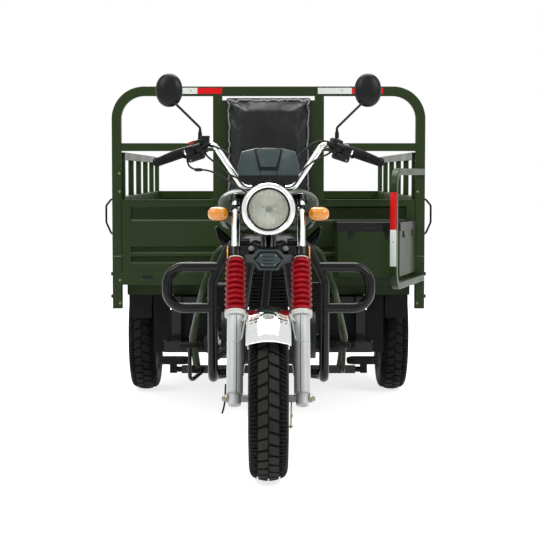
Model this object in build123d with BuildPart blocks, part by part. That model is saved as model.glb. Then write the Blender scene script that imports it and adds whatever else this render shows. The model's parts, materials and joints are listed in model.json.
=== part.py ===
from build123d import *
from math import cos, radians, sin, sqrt, tan
import os

# A cargo motor tricycle: one steered front wheel, a rider's place, and a drop-side cargo bed
# over a leaf-sprung rear axle. +Z is up, the vehicle faces -Y, and +X is the rider's left.
# The origin is on the ground, at the middle of the overall length and width. Sizes are in mm.

# ---- overall sizes ----
wheelbase = 2200
track = 1208
headboard_setback = 1350
bed_length = 2100
bed_half_width = 679
headboard_top = 1439
floor_top = 631

# ---- fits ----
seat_gap = 0.3
run_gap = 0.05
swing_gap = 6

# ---- wheels ----
tyre_radius = 284
tyre_width = 137
bead_radius = 152
bead_half = 46
axle_radius = 8
front_hub_half = 58
front_hub_radius = 30
front_drum_radius = 78
rear_stub_radius = 17
rear_drum_radius = 112

# ---- front fork ----
rake = 26
yoke_offset = 60
leg_half_gap = 118
slider_radius = 29
slider_foot_radius = 22
slider_foot_drop = 24
slider_foot_top = 16
fork_tube_radius = 16
slider_top = 304
collar_radius = 38
collar_height = 18
bellows_top = 525
bellows_bottom_radius = 39
bellows_top_radius = 36
bellows_count = 10
lower_yoke_bottom = 534
lower_yoke_height = 31
top_yoke_bottom = 754
top_yoke_height = 20
stem_radius = 13
head_tube_radius = 29

# ---- front mudguard ----
guard_radius = 322
guard_half = 75
guard_sheet = 3
guard_front_angle = 44.5
guard_sweep = 107.5

# ---- handlebar, lamps and cowl ----
bar_radius = 11
bar_height = 1010
bar_behind_axle = 366
grip_radius = 16.5
grip_length = 128
headlight_height = 937
headlight_front = 165
clamp_radius = 21
headlight_radius = 95
lens_radius = 77
cowl_half = 108
cowl_bottom = 1000
cowl_top = 1150
signal_standoff = 66
signal_height = 917

# ---- crash bar, frame and engine ----
crash_radius = 19
crash_setback = 484
crash_leg_out = 211
crash_loop_out = 384
crash_loop_top = 711
crash_loop_bottom = 556
crash_foot = 280
crash_head = 800
down_tube_radius = 17
down_tube_out = 60
down_tube_bends = (40, 60, 40)
backbone_radius = 24
backbone_up = 620
backbone_end = 900
backbone_end_height = 762
cradle_out = 110
cradle_height = 300
rest_half = 352
rest_setback = 880
seat_rail_height = 690
seat_rail_out = 110
hoop_radius = 15
rail_out = 400
rail_width = 40
rail_bottom = 470
rail_top = 530
cross_beam_height = 312
cross_beam_size = 48
cross_beam_half = 452
engine_setback = 780

# ---- bed ----
post_width = 41
arch_radius = 120
post_bottom = 476
panel_top = 950
panel_thick = 30
sill_height = 51
mid_rail_bottom = 1161
mid_rail_top = 1195
inner_post_out = 220
inner_post_width = 40
gate_setin = 17
gate_thick = 36
gate_top = 963
fence_top = 1156
fence_thick = 24
fence_bays = 5
hinge_standoff = 10
hinge_height = 620
hinge_radius = 8
hinge_pin_radius = 4
hinge_length = 44
bearer_count = 5
tail_hinge_out = 10
latch_standoff = 50
latch_bend = 28

# ---- tool box and its guard ----
box_inner = 285
box_front_outer = 540
box_back_setin = 34
box_depth = 344
box_bottom = 640
box_wall = 4
lid_bottom = 828
lid_top = 862
lid_overhang = 4
lid_hinge_radius = 6
lid_pin_radius = 3
hoop_tube = 28
hoop_front_out = 500
hoop_back_setin = 15
hoop_depth = 538
hoop_top = 1071
hoop_bottom = 612

# ---- seat, backrest and tank ----
seat_half = 165
seat_thick = 95
seat_front = 902.5
seat_back_gap = 2
backrest_half = 185
backrest_thick = 64
backrest_bottom = 900
backrest_top = 1390
tank_half = 200
tank_top = 1015
tank_bottom = 826
tank_front = 475
tank_back = 880

# ---- rear axle and springs ----
axle_tube_radius = 36
spring_width = 60
spring_half_length = 470
spring_eye_radius = 16
spring_leaf = 9

# ---- places worked out from the sizes above ----
length_all = tyre_radius + headboard_setback + bed_length + tail_hinge_out + hinge_radius
front_axle_y = tyre_radius - length_all / 2
rear_axle_y = front_axle_y + wheelbase
headboard_y = front_axle_y + headboard_setback
headboard_front = headboard_y - post_width / 2
headboard_back = headboard_y + post_width / 2
bed_end = headboard_y + bed_length
tail_inner = bed_end - gate_thick
sill_bottom = floor_top - sill_height
gate_bottom = floor_top + swing_gap
gate_outer = bed_half_width - gate_setin
gate_inner = gate_outer - gate_thick
hinge_out = gate_outer + hinge_standoff
latch_out = gate_outer + latch_standoff
box_back_outer = bed_half_width - box_back_setin
hoop_back_out = bed_half_width - hoop_back_setin
signal_out = leg_half_gap + signal_standoff
gate_front = headboard_back + swing_gap
gate_back = tail_inner - swing_gap
post_out = bed_half_width - post_width / 2
fork = Plane(
    origin=(0, front_axle_y, tyre_radius),
    x_dir=(1, 0, 0),
    z_dir=(0, sin(radians(rake)), cos(radians(rake))),
)


def behind(setback):
    """The Y of a place that far behind the front axle."""
    return front_axle_y + setback


def on_fork(x, back, up):
    """A place given across, behind and along the fork's legs, measured from the axle."""
    return fork.from_local_coords(Vector(x, back, up))


def facing_front(place):
    """A plane through a place that faces forward, with X across and Z up."""
    return Plane(origin=place, x_dir=(1, 0, 0), z_dir=(0, -1, 0))


def block(low, high, mode=Mode.ADD):
    """A box between two opposite corners."""
    centre = [(a + b) / 2 for a, b in zip(low, high)]
    size = [b - a for a, b in zip(low, high)]
    with Locations(tuple(centre)):
        Box(*size, mode=mode)


def rod(start, end, radius, mode=Mode.ADD):
    """A round bar between two points."""
    reach = Vector(*end) - Vector(*start)
    with BuildSketch(Plane(origin=start, z_dir=reach)) as section:
        Circle(radius)
    extrude(section.sketch, amount=reach.length, mode=mode)


def bent_tube(points, radius, bend, mode=Mode.ADD):
    """A round tube; bend is one radius for every corner, or a list with one for each."""
    with BuildLine() as path:
        FilletPolyline(*points, radius=bend)
    with BuildSketch(path.line ^ 0) as section:
        Circle(radius)
    sweep(sections=section.sketch, path=path.line, mode=mode)


def mirrored(side, points):
    """The same points on the side asked for."""
    return [(side * x, y, z) for x, y, z in points]


def down_tube_route(side):
    """The frame's down tube and cradle rail on one side."""
    top = on_fork(0, yoke_offset, backbone_up)
    return mirrored(
        side,
        [
            (18, top.Y + 30, top.Z - 22),
            (down_tube_out, behind(crash_setback), crash_head),
            (cradle_out, behind(crash_setback), cradle_height + 150),
            (cradle_out, behind(crash_setback), cradle_height),
            (cradle_out, behind(headboard_setback), cradle_height),
        ],
    )


def wheel_profile_tyre(centre_x, axle_y):
    """A tyre turned about the axle: tread, sidewalls and beads, hollow inside."""
    half = tyre_width / 2
    shoulder = tyre_radius - 17
    wall = 12
    inside = half - 9 - wall
    crown = shoulder - wall
    with BuildSketch(facing_front((centre_x, axle_y, tyre_radius))) as section:
        with BuildLine():
            Line((-bead_half, bead_radius), (-bead_half, bead_radius + 14))
            ThreePointArc((-bead_half, bead_radius + 14), (-half, 216), (-half + 9, shoulder))
            ThreePointArc((-half + 9, shoulder), (0, tyre_radius), (half - 9, shoulder))
            ThreePointArc((half - 9, shoulder), (half, 216), (bead_half, bead_radius + 14))
            Line((bead_half, bead_radius + 14), (bead_half, bead_radius))
            Line((bead_half, bead_radius), (bead_half - wall, bead_radius))
            Line((bead_half - wall, bead_radius), (bead_half - wall, bead_radius + 16))
            ThreePointArc((bead_half - wall, bead_radius + 16), (half - wall, 216), (inside, crown))
            ThreePointArc((inside, crown), (0, tyre_radius - wall - 4), (-inside, crown))
            ThreePointArc((-inside, crown), (wall - half, 216), (wall - bead_half, bead_radius + 16))
            Line((wall - bead_half, bead_radius + 16), (wall - bead_half, bead_radius))
            Line((wall - bead_half, bead_radius), (-bead_half, bead_radius))
        make_face()
    revolve(section.sketch, axis=Axis((centre_x, axle_y, tyre_radius), (1, 0, 0)))


def wheel_barrel(centre_x, axle_y):
    """The rolled rim that the beads sit on."""
    lip = bead_half + seat_gap
    well = bead_radius - seat_gap
    with BuildSketch(facing_front((centre_x, axle_y, tyre_radius))) as section:
        with BuildLine():
            Polyline(
                (-lip - 5, well - 6),
                (-lip - 5, bead_radius + 11),
                (-lip, bead_radius + 11),
                (-lip, well),
                (-24, well),
                (-18, well - 16),
                (18, well - 16),
                (24, well),
                (lip, well),
                (lip, bead_radius + 11),
                (lip + 5, bead_radius + 11),
                (lip + 5, well - 6),
                (28, well - 6),
                (20, well - 21),
                (-20, well - 21),
                (-28, well - 6),
                close=True,
            )
        make_face()
    revolve(section.sketch, axis=Axis((centre_x, axle_y, tyre_radius), (1, 0, 0)))


def wheel_disc(x0, x1, axle_y, hub_radius, hole_radius, hole_circle, count):
    """A pressed disc from the hub to the rim's well, with round vents."""
    outer = bead_radius - seat_gap - 18
    start = Plane(origin=(x0, axle_y, tyre_radius), x_dir=(0, 1, 0), z_dir=(1, 0, 0))
    with BuildSketch(start) as disc:
        Circle(outer)
        with PolarLocations(hole_circle, count):
            Circle(hole_radius, mode=Mode.SUBTRACT)
    extrude(disc.sketch, amount=x1 - x0)


# ================= front wheel =================
with BuildPart() as front_tyre:
    wheel_profile_tyre(0, front_axle_y)
front_tyre.part.label = "front_tyre"

front_centre = (0, front_axle_y, tyre_radius)
with BuildPart() as front_rim:
    wheel_barrel(0, front_axle_y)
    wheel_disc(-3, 3, front_axle_y, front_hub_radius, 14, 106, 8)
    rod(
        (-front_hub_half, front_axle_y, tyre_radius),
        (front_hub_half, front_axle_y, tyre_radius),
        front_hub_radius,
    )
    rod((-40, front_axle_y, tyre_radius), (-3, front_axle_y, tyre_radius), front_drum_radius)
    rod(
        (-front_hub_half - 1, front_axle_y, tyre_radius),
        (front_hub_half + 1, front_axle_y, tyre_radius),
        axle_radius + run_gap,
        Mode.SUBTRACT,
    )
front_rim.part.label = "front_rim"

# ================= rear wheels =================
rear_parts = {}
stub_end = track / 2 + 62
rear_hub_in = track / 2 - 74
for side, word in ((-1, "right"), (1, "left")):
    centre_x = side * track / 2
    with BuildPart() as rear_tyre:
        wheel_profile_tyre(centre_x, rear_axle_y)
    rear_tyre.part.label = "rear_tyre_" + word
    rear_parts["rear_tyre_" + word] = rear_tyre.part

    with BuildPart() as rear_rim:
        wheel_barrel(centre_x, rear_axle_y)
        wheel_disc(centre_x - 4, centre_x + 4, rear_axle_y, rear_stub_radius, 13, 116, 8)
        rod(
            (side * rear_hub_in, rear_axle_y, tyre_radius),
            (side * track / 2, rear_axle_y, tyre_radius),
            rear_drum_radius - 12,
        )
        rod(
            (side * track / 2, rear_axle_y, tyre_radius),
            (side * (track / 2 + 40), rear_axle_y, tyre_radius),
            38,
        )
        rod(
            (side * (rear_hub_in - 1), rear_axle_y, tyre_radius),
            (side * (stub_end + 1), rear_axle_y, tyre_radius),
            rear_stub_radius + run_gap,
            Mode.SUBTRACT,
        )
    rear_rim.part.label = "rear_rim_" + word
    rear_parts["rear_rim_" + word] = rear_rim.part

# ================= front axle and fork =================
foot_face = leg_half_gap - slider_foot_radius
foot_out = leg_half_gap + slider_foot_radius
with BuildPart() as front_axle:
    rod((-foot_out - 22, front_axle_y, tyre_radius), (foot_out + 22, front_axle_y, tyre_radius), axle_radius)
    for side in (-1, 1):
        rod(
            (side * (front_hub_half + seat_gap), front_axle_y, tyre_radius),
            (side * (foot_face - seat_gap), front_axle_y, tyre_radius),
            13,
        )
        nut_place = (side * (foot_out + seat_gap), front_axle_y, tyre_radius)
        with BuildSketch(Plane(origin=nut_place, z_dir=(side, 0, 0))) as nut:
            RegularPolygon(radius=14, side_count=6)
        extrude(nut.sketch, amount=12)
front_axle.part.label = "front_axle"

with BuildPart() as fork_sliders:
    for side in (-1, 1):
        x = side * leg_half_gap
        rod(on_fork(x, 0, -slider_foot_drop), on_fork(x, 0, slider_foot_top + 1), slider_foot_radius)
        rod(on_fork(x, 0, slider_foot_top), on_fork(x, 0, slider_top), slider_radius)
        rod(on_fork(x, 0, slider_top), on_fork(x, 0, slider_top + collar_height), collar_radius)
        rod(
            (side * (foot_face - 12), front_axle_y, tyre_radius),
            (side * (foot_out + 12), front_axle_y, tyre_radius),
            axle_radius + seat_gap,
            Mode.SUBTRACT,
        )
fork_sliders.part.label = "fork_sliders"

tube_bottom = slider_top + collar_height + seat_gap
yoke_top = top_yoke_bottom + top_yoke_height
with BuildPart() as fork_tubes:
    for side in (-1, 1):
        x = side * leg_half_gap
        rod(on_fork(x, 0, tube_bottom), on_fork(x, 0, yoke_top + 6), fork_tube_radius)
fork_tubes.part.label = "fork_tubes"

with BuildPart() as fork_bellows:
    fold = (bellows_top - tube_bottom) / bellows_count
    for side in (-1, 1):
        with BuildSketch(
            Plane(origin=on_fork(side * leg_half_gap, 0, 0), x_dir=(1, 0, 0), z_dir=-fork.y_dir)
        ) as section:
            with BuildLine():
                crests = [(fork_tube_radius + seat_gap, tube_bottom)]
                for turn in range(bellows_count):
                    low = tube_bottom + turn * fold
                    taper = (bellows_bottom_radius - bellows_top_radius) * turn / bellows_count
                    crests.append((bellows_bottom_radius - taper - 9, low))
                    crests.append((bellows_bottom_radius - taper, low + 0.4 * fold))
                    crests.append((bellows_bottom_radius - taper, low + 0.6 * fold))
                crests.append((bellows_top_radius - 8, bellows_top))
                crests.append((fork_tube_radius + seat_gap, bellows_top))
                Polyline(*crests, close=True)
            make_face()
        revolve(section.sketch, axis=Axis(on_fork(side * leg_half_gap, 0, 0), fork.z_dir))
fork_bellows.part.label = "fork_bellows"

with BuildPart() as fork_yokes:
    for low, high, arm in (
        (lower_yoke_bottom, lower_yoke_bottom + lower_yoke_height, 28),
        (top_yoke_bottom, yoke_top, 26),
    ):
        with BuildSketch(fork.offset(low)) as plate:
            with Locations((-leg_half_gap, 0), (leg_half_gap, 0)):
                Circle(arm)
            with Locations((0, yoke_offset)):
                Circle(34)
            with BuildLine():
                Polyline(
                    (-leg_half_gap, -20),
                    (leg_half_gap, -20),
                    (leg_half_gap, 26),
                    (30, yoke_offset + 26),
                    (-30, yoke_offset + 26),
                    (-leg_half_gap, 26),
                    close=True,
                )
            make_face()
        extrude(plate.sketch, amount=high - low)
    rod(on_fork(0, yoke_offset, lower_yoke_bottom), on_fork(0, yoke_offset, yoke_top), stem_radius)
    for side in (-1, 1):
        rod(
            on_fork(side * leg_half_gap, 0, lower_yoke_bottom - 5),
            on_fork(side * leg_half_gap, 0, yoke_top + 10),
            fork_tube_radius + seat_gap,
            Mode.SUBTRACT,
        )
        block(
            (side * 50 - 12, behind(bar_behind_axle) - 14, bar_height - 62),
            (side * 50 + 12, behind(bar_behind_axle) + 14, bar_height + 16),
        )
    rod(
        (-80, behind(bar_behind_axle), bar_height),
        (80, behind(bar_behind_axle), bar_height),
        bar_radius + seat_gap,
        Mode.SUBTRACT,
    )
    # the cowl's bracket on the top yoke, and the horn's on the lower one
    block((-24, behind(318), 975), (24, behind(336), headlight_height + headlight_radius - 2))
    block((-12, behind(205) + seat_gap, 772), (12, behind(232), 798))
fork_yokes.part.label = "fork_yokes"

# ================= front mudguard =================
with BuildPart() as front_mudguard:
    start = radians(guard_front_angle)
    toward = (0, -cos(start), sin(start))
    guard_plane = Plane(origin=front_centre, x_dir=(1, 0, 0), z_dir=(0, -sin(start), -cos(start)))
    flip = -1 if guard_plane.y_dir.dot(Vector(*toward)) < 0 else 1
    inner = guard_radius - guard_sheet
    guard_inside = guard_half - guard_sheet
    with BuildSketch(guard_plane) as section:
        with BuildLine():
            Line((-guard_half, flip * 290), (-guard_half, flip * 300))
            ThreePointArc((-guard_half, flip * 300), (0, flip * guard_radius), (guard_half, flip * 300))
            Line((guard_half, flip * 300), (guard_half, flip * 290))
            Line((guard_half, flip * 290), (guard_inside, flip * 290))
            Line((guard_inside, flip * 290), (guard_inside, flip * 298))
            ThreePointArc((guard_inside, flip * 298), (0, flip * inner), (-guard_inside, flip * 298))
            Line((-guard_inside, flip * 298), (-guard_inside, flip * 290))
            Line((-guard_inside, flip * 290), (-guard_half, flip * 290))
        make_face()
    revolve(section.sketch, axis=Axis(front_centre, (-1, 0, 0)), revolution_arc=guard_sweep)
    # stays: a strap beside each slider, with lugs to the slider and to the guard
    strap_in = leg_half_gap - slider_radius - 9
    for side in (-1, 1):
        for x0, x1, low, high in (
            (strap_in, strap_in + 4, 206, 300),
            (strap_in + 3, leg_half_gap - slider_radius + 2, 214, 230),
            (strap_in + 3, leg_half_gap - slider_radius + 2, 280, 296),
            (guard_half - 1, strap_in + 1, 284, 300),
        ):
            with BuildSketch(fork.offset(low)) as strap:
                with Locations((side * (x0 + x1) / 2, 0)):
                    Rectangle(x1 - x0, 24)
            extrude(strap.sketch, amount=high - low)
        rod(
            on_fork(side * leg_half_gap, 0, 200),
            on_fork(side * leg_half_gap, 0, 302),
            slider_radius + seat_gap,
            Mode.SUBTRACT,
        )
front_mudguard.part.label = "front_mudguard"

# ================= handlebar and controls =================
bar_y = behind(bar_behind_axle)
bar_rise = (203, bar_y + 14, 1176)
bar_end = (424, bar_y + 124, 1105)
with BuildPart() as handlebar:
    bent_tube(
        mirrored(-1, [bar_end, bar_rise, (92, bar_y, bar_height)])
        + mirrored(1, [(92, bar_y, bar_height), bar_rise, bar_end]),
        bar_radius,
        36,
    )
handlebar.part.label = "handlebar"

grip_run = (Vector(*bar_end) - Vector(*bar_rise)).normalized()


def along_grip(side, distance):
    """A place on the bar's straight end, that far in from its tip."""
    place = Vector(*bar_end) - grip_run * distance
    return Vector(side * place.X, place.Y, place.Z)


with BuildPart() as hand_grips:
    for side in (-1, 1):
        rod(along_grip(side, grip_length), along_grip(side, -6), grip_radius)
        rod(along_grip(side, grip_length + 1), along_grip(side, 0), bar_radius + seat_gap, Mode.SUBTRACT)
hand_grips.part.label = "hand_grips"

housing_in = grip_length + 98
mirror_along = grip_length + 70
housing_radius = 21
lever_ahead = 44
with BuildPart() as hand_controls:
    for side in (-1, 1):
        rod(along_grip(side, housing_in), along_grip(side, grip_length + seat_gap), housing_radius)
        root = along_grip(side, grip_length + 12)
        perch = root + Vector(0, -lever_ahead, -4)
        rod(root, perch, 10)
        tip = along_grip(side, -4) + Vector(0, -lever_ahead - 4, -8)
        rod(perch - (tip - perch).normalized() * 10, tip, 6.5)
        rod(
            along_grip(side, housing_in + 40),
            along_grip(side, grip_length - 60),
            bar_radius + seat_gap,
            Mode.SUBTRACT,
        )
hand_controls.part.label = "hand_controls"

mirror_centre = (370, bar_y + 70, 1373)
mirror_rim = (50, 62)
mirror_back = (32, 42)
with BuildPart() as mirrors:
    for side in (-1, 1):
        base = along_grip(side, mirror_along)
        foot = (base.X, base.Y, base.Z + 14)
        bent_tube(
            [
                foot,
                (base.X, base.Y, base.Z + 72),
                (side * (mirror_centre[0] - 4), mirror_centre[1] - 4, mirror_centre[2] - 24),
            ],
            5,
            22,
        )
        face = facing_front((side * mirror_centre[0], mirror_centre[1], mirror_centre[2]))
        with BuildSketch(face.offset(-8)) as back:
            Ellipse(*mirror_rim)
        with BuildSketch(face.offset(14)) as front:
            Ellipse(*mirror_back)
        loft(sections=[back.sketch, front.sketch])
        rod(
            along_grip(side, housing_in + 20),
            along_grip(side, grip_length - 20),
            housing_radius + seat_gap,
            Mode.SUBTRACT,
        )
mirrors.part.label = "mirrors"

# ================= lamps, cowl and horn =================
lamp_y = behind(headlight_front)
with BuildPart() as headlight:
    bowl = Plane(origin=(0, lamp_y, headlight_height), x_dir=(1, 0, 0), z_dir=(0, 0, 1))
    with BuildSketch(bowl) as section:
        with BuildLine():
            Polyline(
                (lens_radius + seat_gap, 4),
                (lens_radius + 4, 0),
                (headlight_radius - 5, 4),
                (headlight_radius, 14),
                (headlight_radius - 4, 24),
                (86, 26),
                (80, 70),
                (62, 108),
                (34, 128),
                (0, 132),
                (0, 128),
                (32, 124),
                (58, 105),
                (76, 68),
                (lens_radius + seat_gap, 30),
                close=True,
            )
        make_face()
    revolve(section.sketch, axis=Axis((0, lamp_y, headlight_height), (0, 1, 0)))
    # ears from the bowl to clamps round the fork's tubes
    ear_up = 726
    ear_y = behind(ear_up * sin(radians(rake)))
    ear_in = leg_half_gap - clamp_radius
    for side in (-1, 1):
        rod(
            on_fork(side * leg_half_gap, 0, ear_up - 7),
            on_fork(side * leg_half_gap, 0, ear_up + 7),
            clamp_radius,
        )
        block(
            (min(side * 70, side * (ear_in + 5)), lamp_y + 52, headlight_height - 14),
            (max(side * 70, side * (ear_in + 5)), lamp_y + 60, headlight_height + 14),
        )
        block(
            (min(side * ear_in, side * (ear_in + 6)), lamp_y + 52, headlight_height - 14),
            (max(side * ear_in, side * (ear_in + 6)), ear_y, headlight_height + 14),
        )
        rod(
            on_fork(side * leg_half_gap, 0, ear_up - 40),
            on_fork(side * leg_half_gap, 0, ear_up + 40),
            fork_tube_radius + seat_gap,
            Mode.SUBTRACT,
        )
    with BuildSketch(bowl) as hollow:
        with BuildLine():
            Polyline(
                (0, 8),
                (lens_radius, 8),
                (lens_radius - 1, 30),
                (76, 68),
                (58, 105),
                (32, 124),
                (0, 128),
                close=True,
            )
        make_face()
    revolve(hollow.sketch, axis=Axis((0, lamp_y, headlight_height), (0, 1, 0)), mode=Mode.SUBTRACT)
headlight.part.label = "headlight"

with BuildPart() as headlight_lens:
    with BuildSketch(bowl) as section:
        with BuildLine():
            Polyline(
                (0, 12),
                (0, -8),
                (20, -7),
                (44, -3),
                (64, 2),
                (lens_radius, 8),
                (lens_radius, 12),
                close=True,
            )
        make_face()
    revolve(section.sketch, axis=Axis((0, lamp_y, headlight_height), (0, 1, 0)))
headlight_lens.part.label = "headlight_lens"

with BuildPart() as turn_signals:
    signal_y = behind(ear_up * sin(radians(rake)))
    for side in (-1, 1):
        signal_place = (side * signal_out, signal_y - 12, signal_height)
        with BuildSketch(facing_front(signal_place)) as half:
            Ellipse(38, 26)
            with Locations((0, -20)):
                Rectangle(90, 40, mode=Mode.SUBTRACT)
        revolve(half.sketch, axis=Axis(signal_place, (1, 0, 0)))
        stalk_start = on_fork(side * (leg_half_gap + 15), 0, ear_up - 13)
        rod(stalk_start, (side * (signal_out - 20), signal_y - 12, signal_height), 8)
        rod(
            on_fork(side * leg_half_gap, 0, ear_up - 60),
            on_fork(side * leg_half_gap, 0, ear_up + 60),
            clamp_radius + seat_gap,
            Mode.SUBTRACT,
        )
turn_signals.part.label = "turn_signals"

with BuildPart() as instrument_cowl:
    cowl_plane = facing_front((0, behind(205), 0))
    with BuildSketch(cowl_plane.offset(0)) as front:
        with BuildLine():
            Polyline(
                (-cowl_half + 36, cowl_bottom + 30),
                (-cowl_half + 14, cowl_bottom + 78),
                (-cowl_half + 52, cowl_top - 34),
                (cowl_half - 52, cowl_top - 34),
                (cowl_half - 14, cowl_bottom + 78),
                (cowl_half - 36, cowl_bottom + 30),
                close=True,
            )
        make_face()
    with BuildSketch(cowl_plane.offset(-90)) as middle:
        with BuildLine():
            Polyline(
                (-cowl_half + 14, cowl_bottom + 30),
                (-cowl_half, cowl_bottom + 88),
                (-cowl_half + 44, cowl_top),
                (cowl_half - 44, cowl_top),
                (cowl_half, cowl_bottom + 88),
                (cowl_half - 14, cowl_bottom + 30),
                close=True,
            )
        make_face()
    with BuildSketch(cowl_plane.offset(-136)) as rear:
        with BuildLine():
            Polyline(
                (-cowl_half + 20, cowl_bottom + 30),
                (-cowl_half + 10, cowl_bottom + 80),
                (-cowl_half + 50, cowl_top - 22),
                (cowl_half - 50, cowl_top - 22),
                (cowl_half - 10, cowl_bottom + 80),
                (cowl_half - 20, cowl_bottom + 30),
                close=True,
            )
        make_face()
    loft(sections=[front.sketch, middle.sketch, rear.sketch], ruled=True)
    rod(
        (0, behind(100), headlight_height),
        (0, behind(500), headlight_height),
        headlight_radius,
        Mode.SUBTRACT,
    )
instrument_cowl.part.label = "instrument_cowl"

with BuildPart() as horn_cover:
    with BuildSketch(facing_front((0, behind(205), 756))) as face:
        with BuildLine():
            Polyline((-38, 37), (38, 37), (62, 12), (36, -37), (-36, -37), (-62, 12), close=True)
        make_face()
        fillet(face.vertices(), 7)
    extrude(face.sketch, amount=34)
horn_cover.part.label = "horn_cover"

# ================= crash bar =================
crash_y = behind(crash_setback)
down_reach = down_tube_out + down_tube_radius
with BuildPart() as crash_bar:
    for side in (-1, 1):
        bent_tube(
            mirrored(
                side,
                [
                    (down_reach - 7, crash_y, crash_head),
                    (142, crash_y, crash_head),
                    (crash_leg_out, crash_y, 655),
                    (crash_leg_out, crash_y, crash_foot + 6),
                    (crash_leg_out, crash_y + 110, crash_foot + 6),
                    (cradle_out + 10, crash_y + 170, crash_foot + 10),
                ],
            ),
            crash_radius,
            46,
        )
        bent_tube(
            mirrored(
                side,
                [
                    (190, crash_y, crash_loop_top),
                    (crash_loop_out, crash_y, crash_loop_top),
                    (crash_loop_out, crash_y, crash_loop_bottom),
                    (crash_leg_out, crash_y, crash_loop_bottom),
                ],
            ),
            crash_radius,
            66,
        )
        bent_tube(down_tube_route(side), down_tube_radius + seat_gap, down_tube_bends, Mode.SUBTRACT)
crash_bar.part.label = "crash_bar"

# ================= frame =================
seat_rail_y = behind(860)
with BuildPart() as chassis_frame:
    rod(
        on_fork(0, yoke_offset, lower_yoke_bottom + lower_yoke_height + 1),
        on_fork(0, yoke_offset, top_yoke_bottom - 1),
        head_tube_radius,
    )
    # backbone under the tank, with the seat rails behind it
    back_start = on_fork(0, yoke_offset, backbone_up)
    back_stop = Vector(0, behind(backbone_end), backbone_end_height)
    rod(back_start, back_stop, backbone_radius)
    block((-20, behind(tank_front + 102), 780), (20, behind(tank_front + 118), tank_bottom - seat_gap))
    block((-20, behind(tank_back - 170), 770), (20, behind(tank_back - 154), tank_bottom - seat_gap))
    for side in (-1, 1):
        bent_tube(
            mirrored(
                side,
                [
                    (0, behind(800), 770),
                    (seat_rail_out, behind(880), seat_rail_height),
                    (seat_rail_out, headboard_front - seat_gap, seat_rail_height),
                ],
            ),
            15,
            40,
        )
        # down tube and cradle rail, running back to the cross beam
        bent_tube(down_tube_route(side), down_tube_radius, down_tube_bends)
        rod(
            (side * seat_rail_out, behind(1010), cradle_height),
            (side * seat_rail_out, behind(1010), seat_rail_height),
            14,
        )
    # the rest bar under the crankcase
    block(
        (-rest_half, behind(rest_setback) - 14, cradle_height - 45),
        (rest_half, behind(rest_setback) + 14, cradle_height - 15),
    )
    rod(
        on_fork(0, yoke_offset, lower_yoke_bottom),
        on_fork(0, yoke_offset, yoke_top),
        stem_radius + run_gap,
        Mode.SUBTRACT,
    )
chassis_frame.part.label = "chassis_frame"

with BuildPart() as rear_frame:
    # ladder rails, with posts down to the cross beam
    for side in (-1, 1):
        block(
            (side * rail_out - rail_width / 2, headboard_front - 30, rail_bottom),
            (side * rail_out + rail_width / 2, bed_end - 70, rail_top),
        )
        block(
            (side * rail_out - rail_width / 2, headboard_front - 30, cross_beam_height),
            (side * rail_out + rail_width / 2, headboard_front + 10, rail_bottom + 5),
        )
        # the spring's hanger plates
        for end in (-1, 1):
            eye_y = rear_axle_y + end * spring_half_length
            for plate in (-1, 1):
                inner = side * rail_out + plate * (spring_width / 2 + seat_gap)
                block(
                    (min(inner, inner + plate * 5), eye_y - 22, rail_bottom - 48),
                    (max(inner, inner + plate * 5), eye_y + 22, rail_bottom + 6),
                )
            block(
                (side * rail_out - spring_width / 2 - 5, eye_y - 22, rail_bottom - 3),
                (side * rail_out + spring_width / 2 + 5, eye_y + 22, rail_bottom + 6),
            )
            rod(
                (side * (rail_out - 50), eye_y, rail_bottom - 24),
                (side * (rail_out + 50), eye_y, rail_bottom - 24),
                7 + seat_gap,
                Mode.SUBTRACT,
            )
    block(
        (-cross_beam_half, headboard_front - 34, cross_beam_height - cross_beam_size / 2),
        (cross_beam_half, headboard_front - 34 + cross_beam_size, cross_beam_height + cross_beam_size / 2),
    )
    for cross_y in (headboard_y + 60, rear_axle_y - 620, rear_axle_y + 620, bed_end - 90):
        block((-rail_out, cross_y - 20, rail_bottom + 8), (rail_out, cross_y + 20, rail_top - 8))
    for side in (-1, 1):
        bent_tube(down_tube_route(side), down_tube_radius + seat_gap, down_tube_bends, Mode.SUBTRACT)
rear_frame.part.label = "rear_frame"

with BuildPart() as frame_side_hoops:
    for side in (-1, 1):
        bent_tube(
            mirrored(
                side,
                [
                    (8, behind(610), 776),
                    (190, behind(610), 776),
                    (252, behind(620), 618),
                    (303, behind(800), 410),
                    (290, behind(rest_setback), cradle_height - 25),
                ],
            ),
            hoop_radius,
            50,
        )
    rod(back_start, back_stop, backbone_radius + seat_gap, Mode.SUBTRACT)
    block(
        (-rest_half, behind(rest_setback) - 60, cradle_height - 60),
        (rest_half, behind(rest_setback) + 60, cradle_height - 15 + seat_gap),
        Mode.SUBTRACT,
    )
frame_side_hoops.part.label = "frame_side_hoops"

# ================= engine and exhaust =================
engine_y = behind(engine_setback)
case_bottom = cradle_height + down_tube_radius + seat_gap
cover_out = 188
cover_radius = 94
with BuildPart() as engine:
    block((-118, engine_y - 140, case_bottom), (118, engine_y + 160, 505))
    fillet(engine.part.edges().filter_by(Axis.X), 34)
    rod((-cover_out, engine_y + 30, 418), (cover_out, engine_y + 30, 418), cover_radius)
    block((-46, engine_y - 110, 490), (46, engine_y + 20, 700))
    for fin in range(11):
        block((-66, engine_y - 128, 520 + 15 * fin), (66, engine_y + 38, 524 + 15 * fin))
    block((-58, engine_y - 120, 690), (58, engine_y + 30, 738))
    rod((0, engine_y + 20, 655), (0, engine_y + 110, 655), 20)
    block((-26, engine_y + 80, 610), (26, engine_y + 130, 690))
engine.part.label = "engine"

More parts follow.
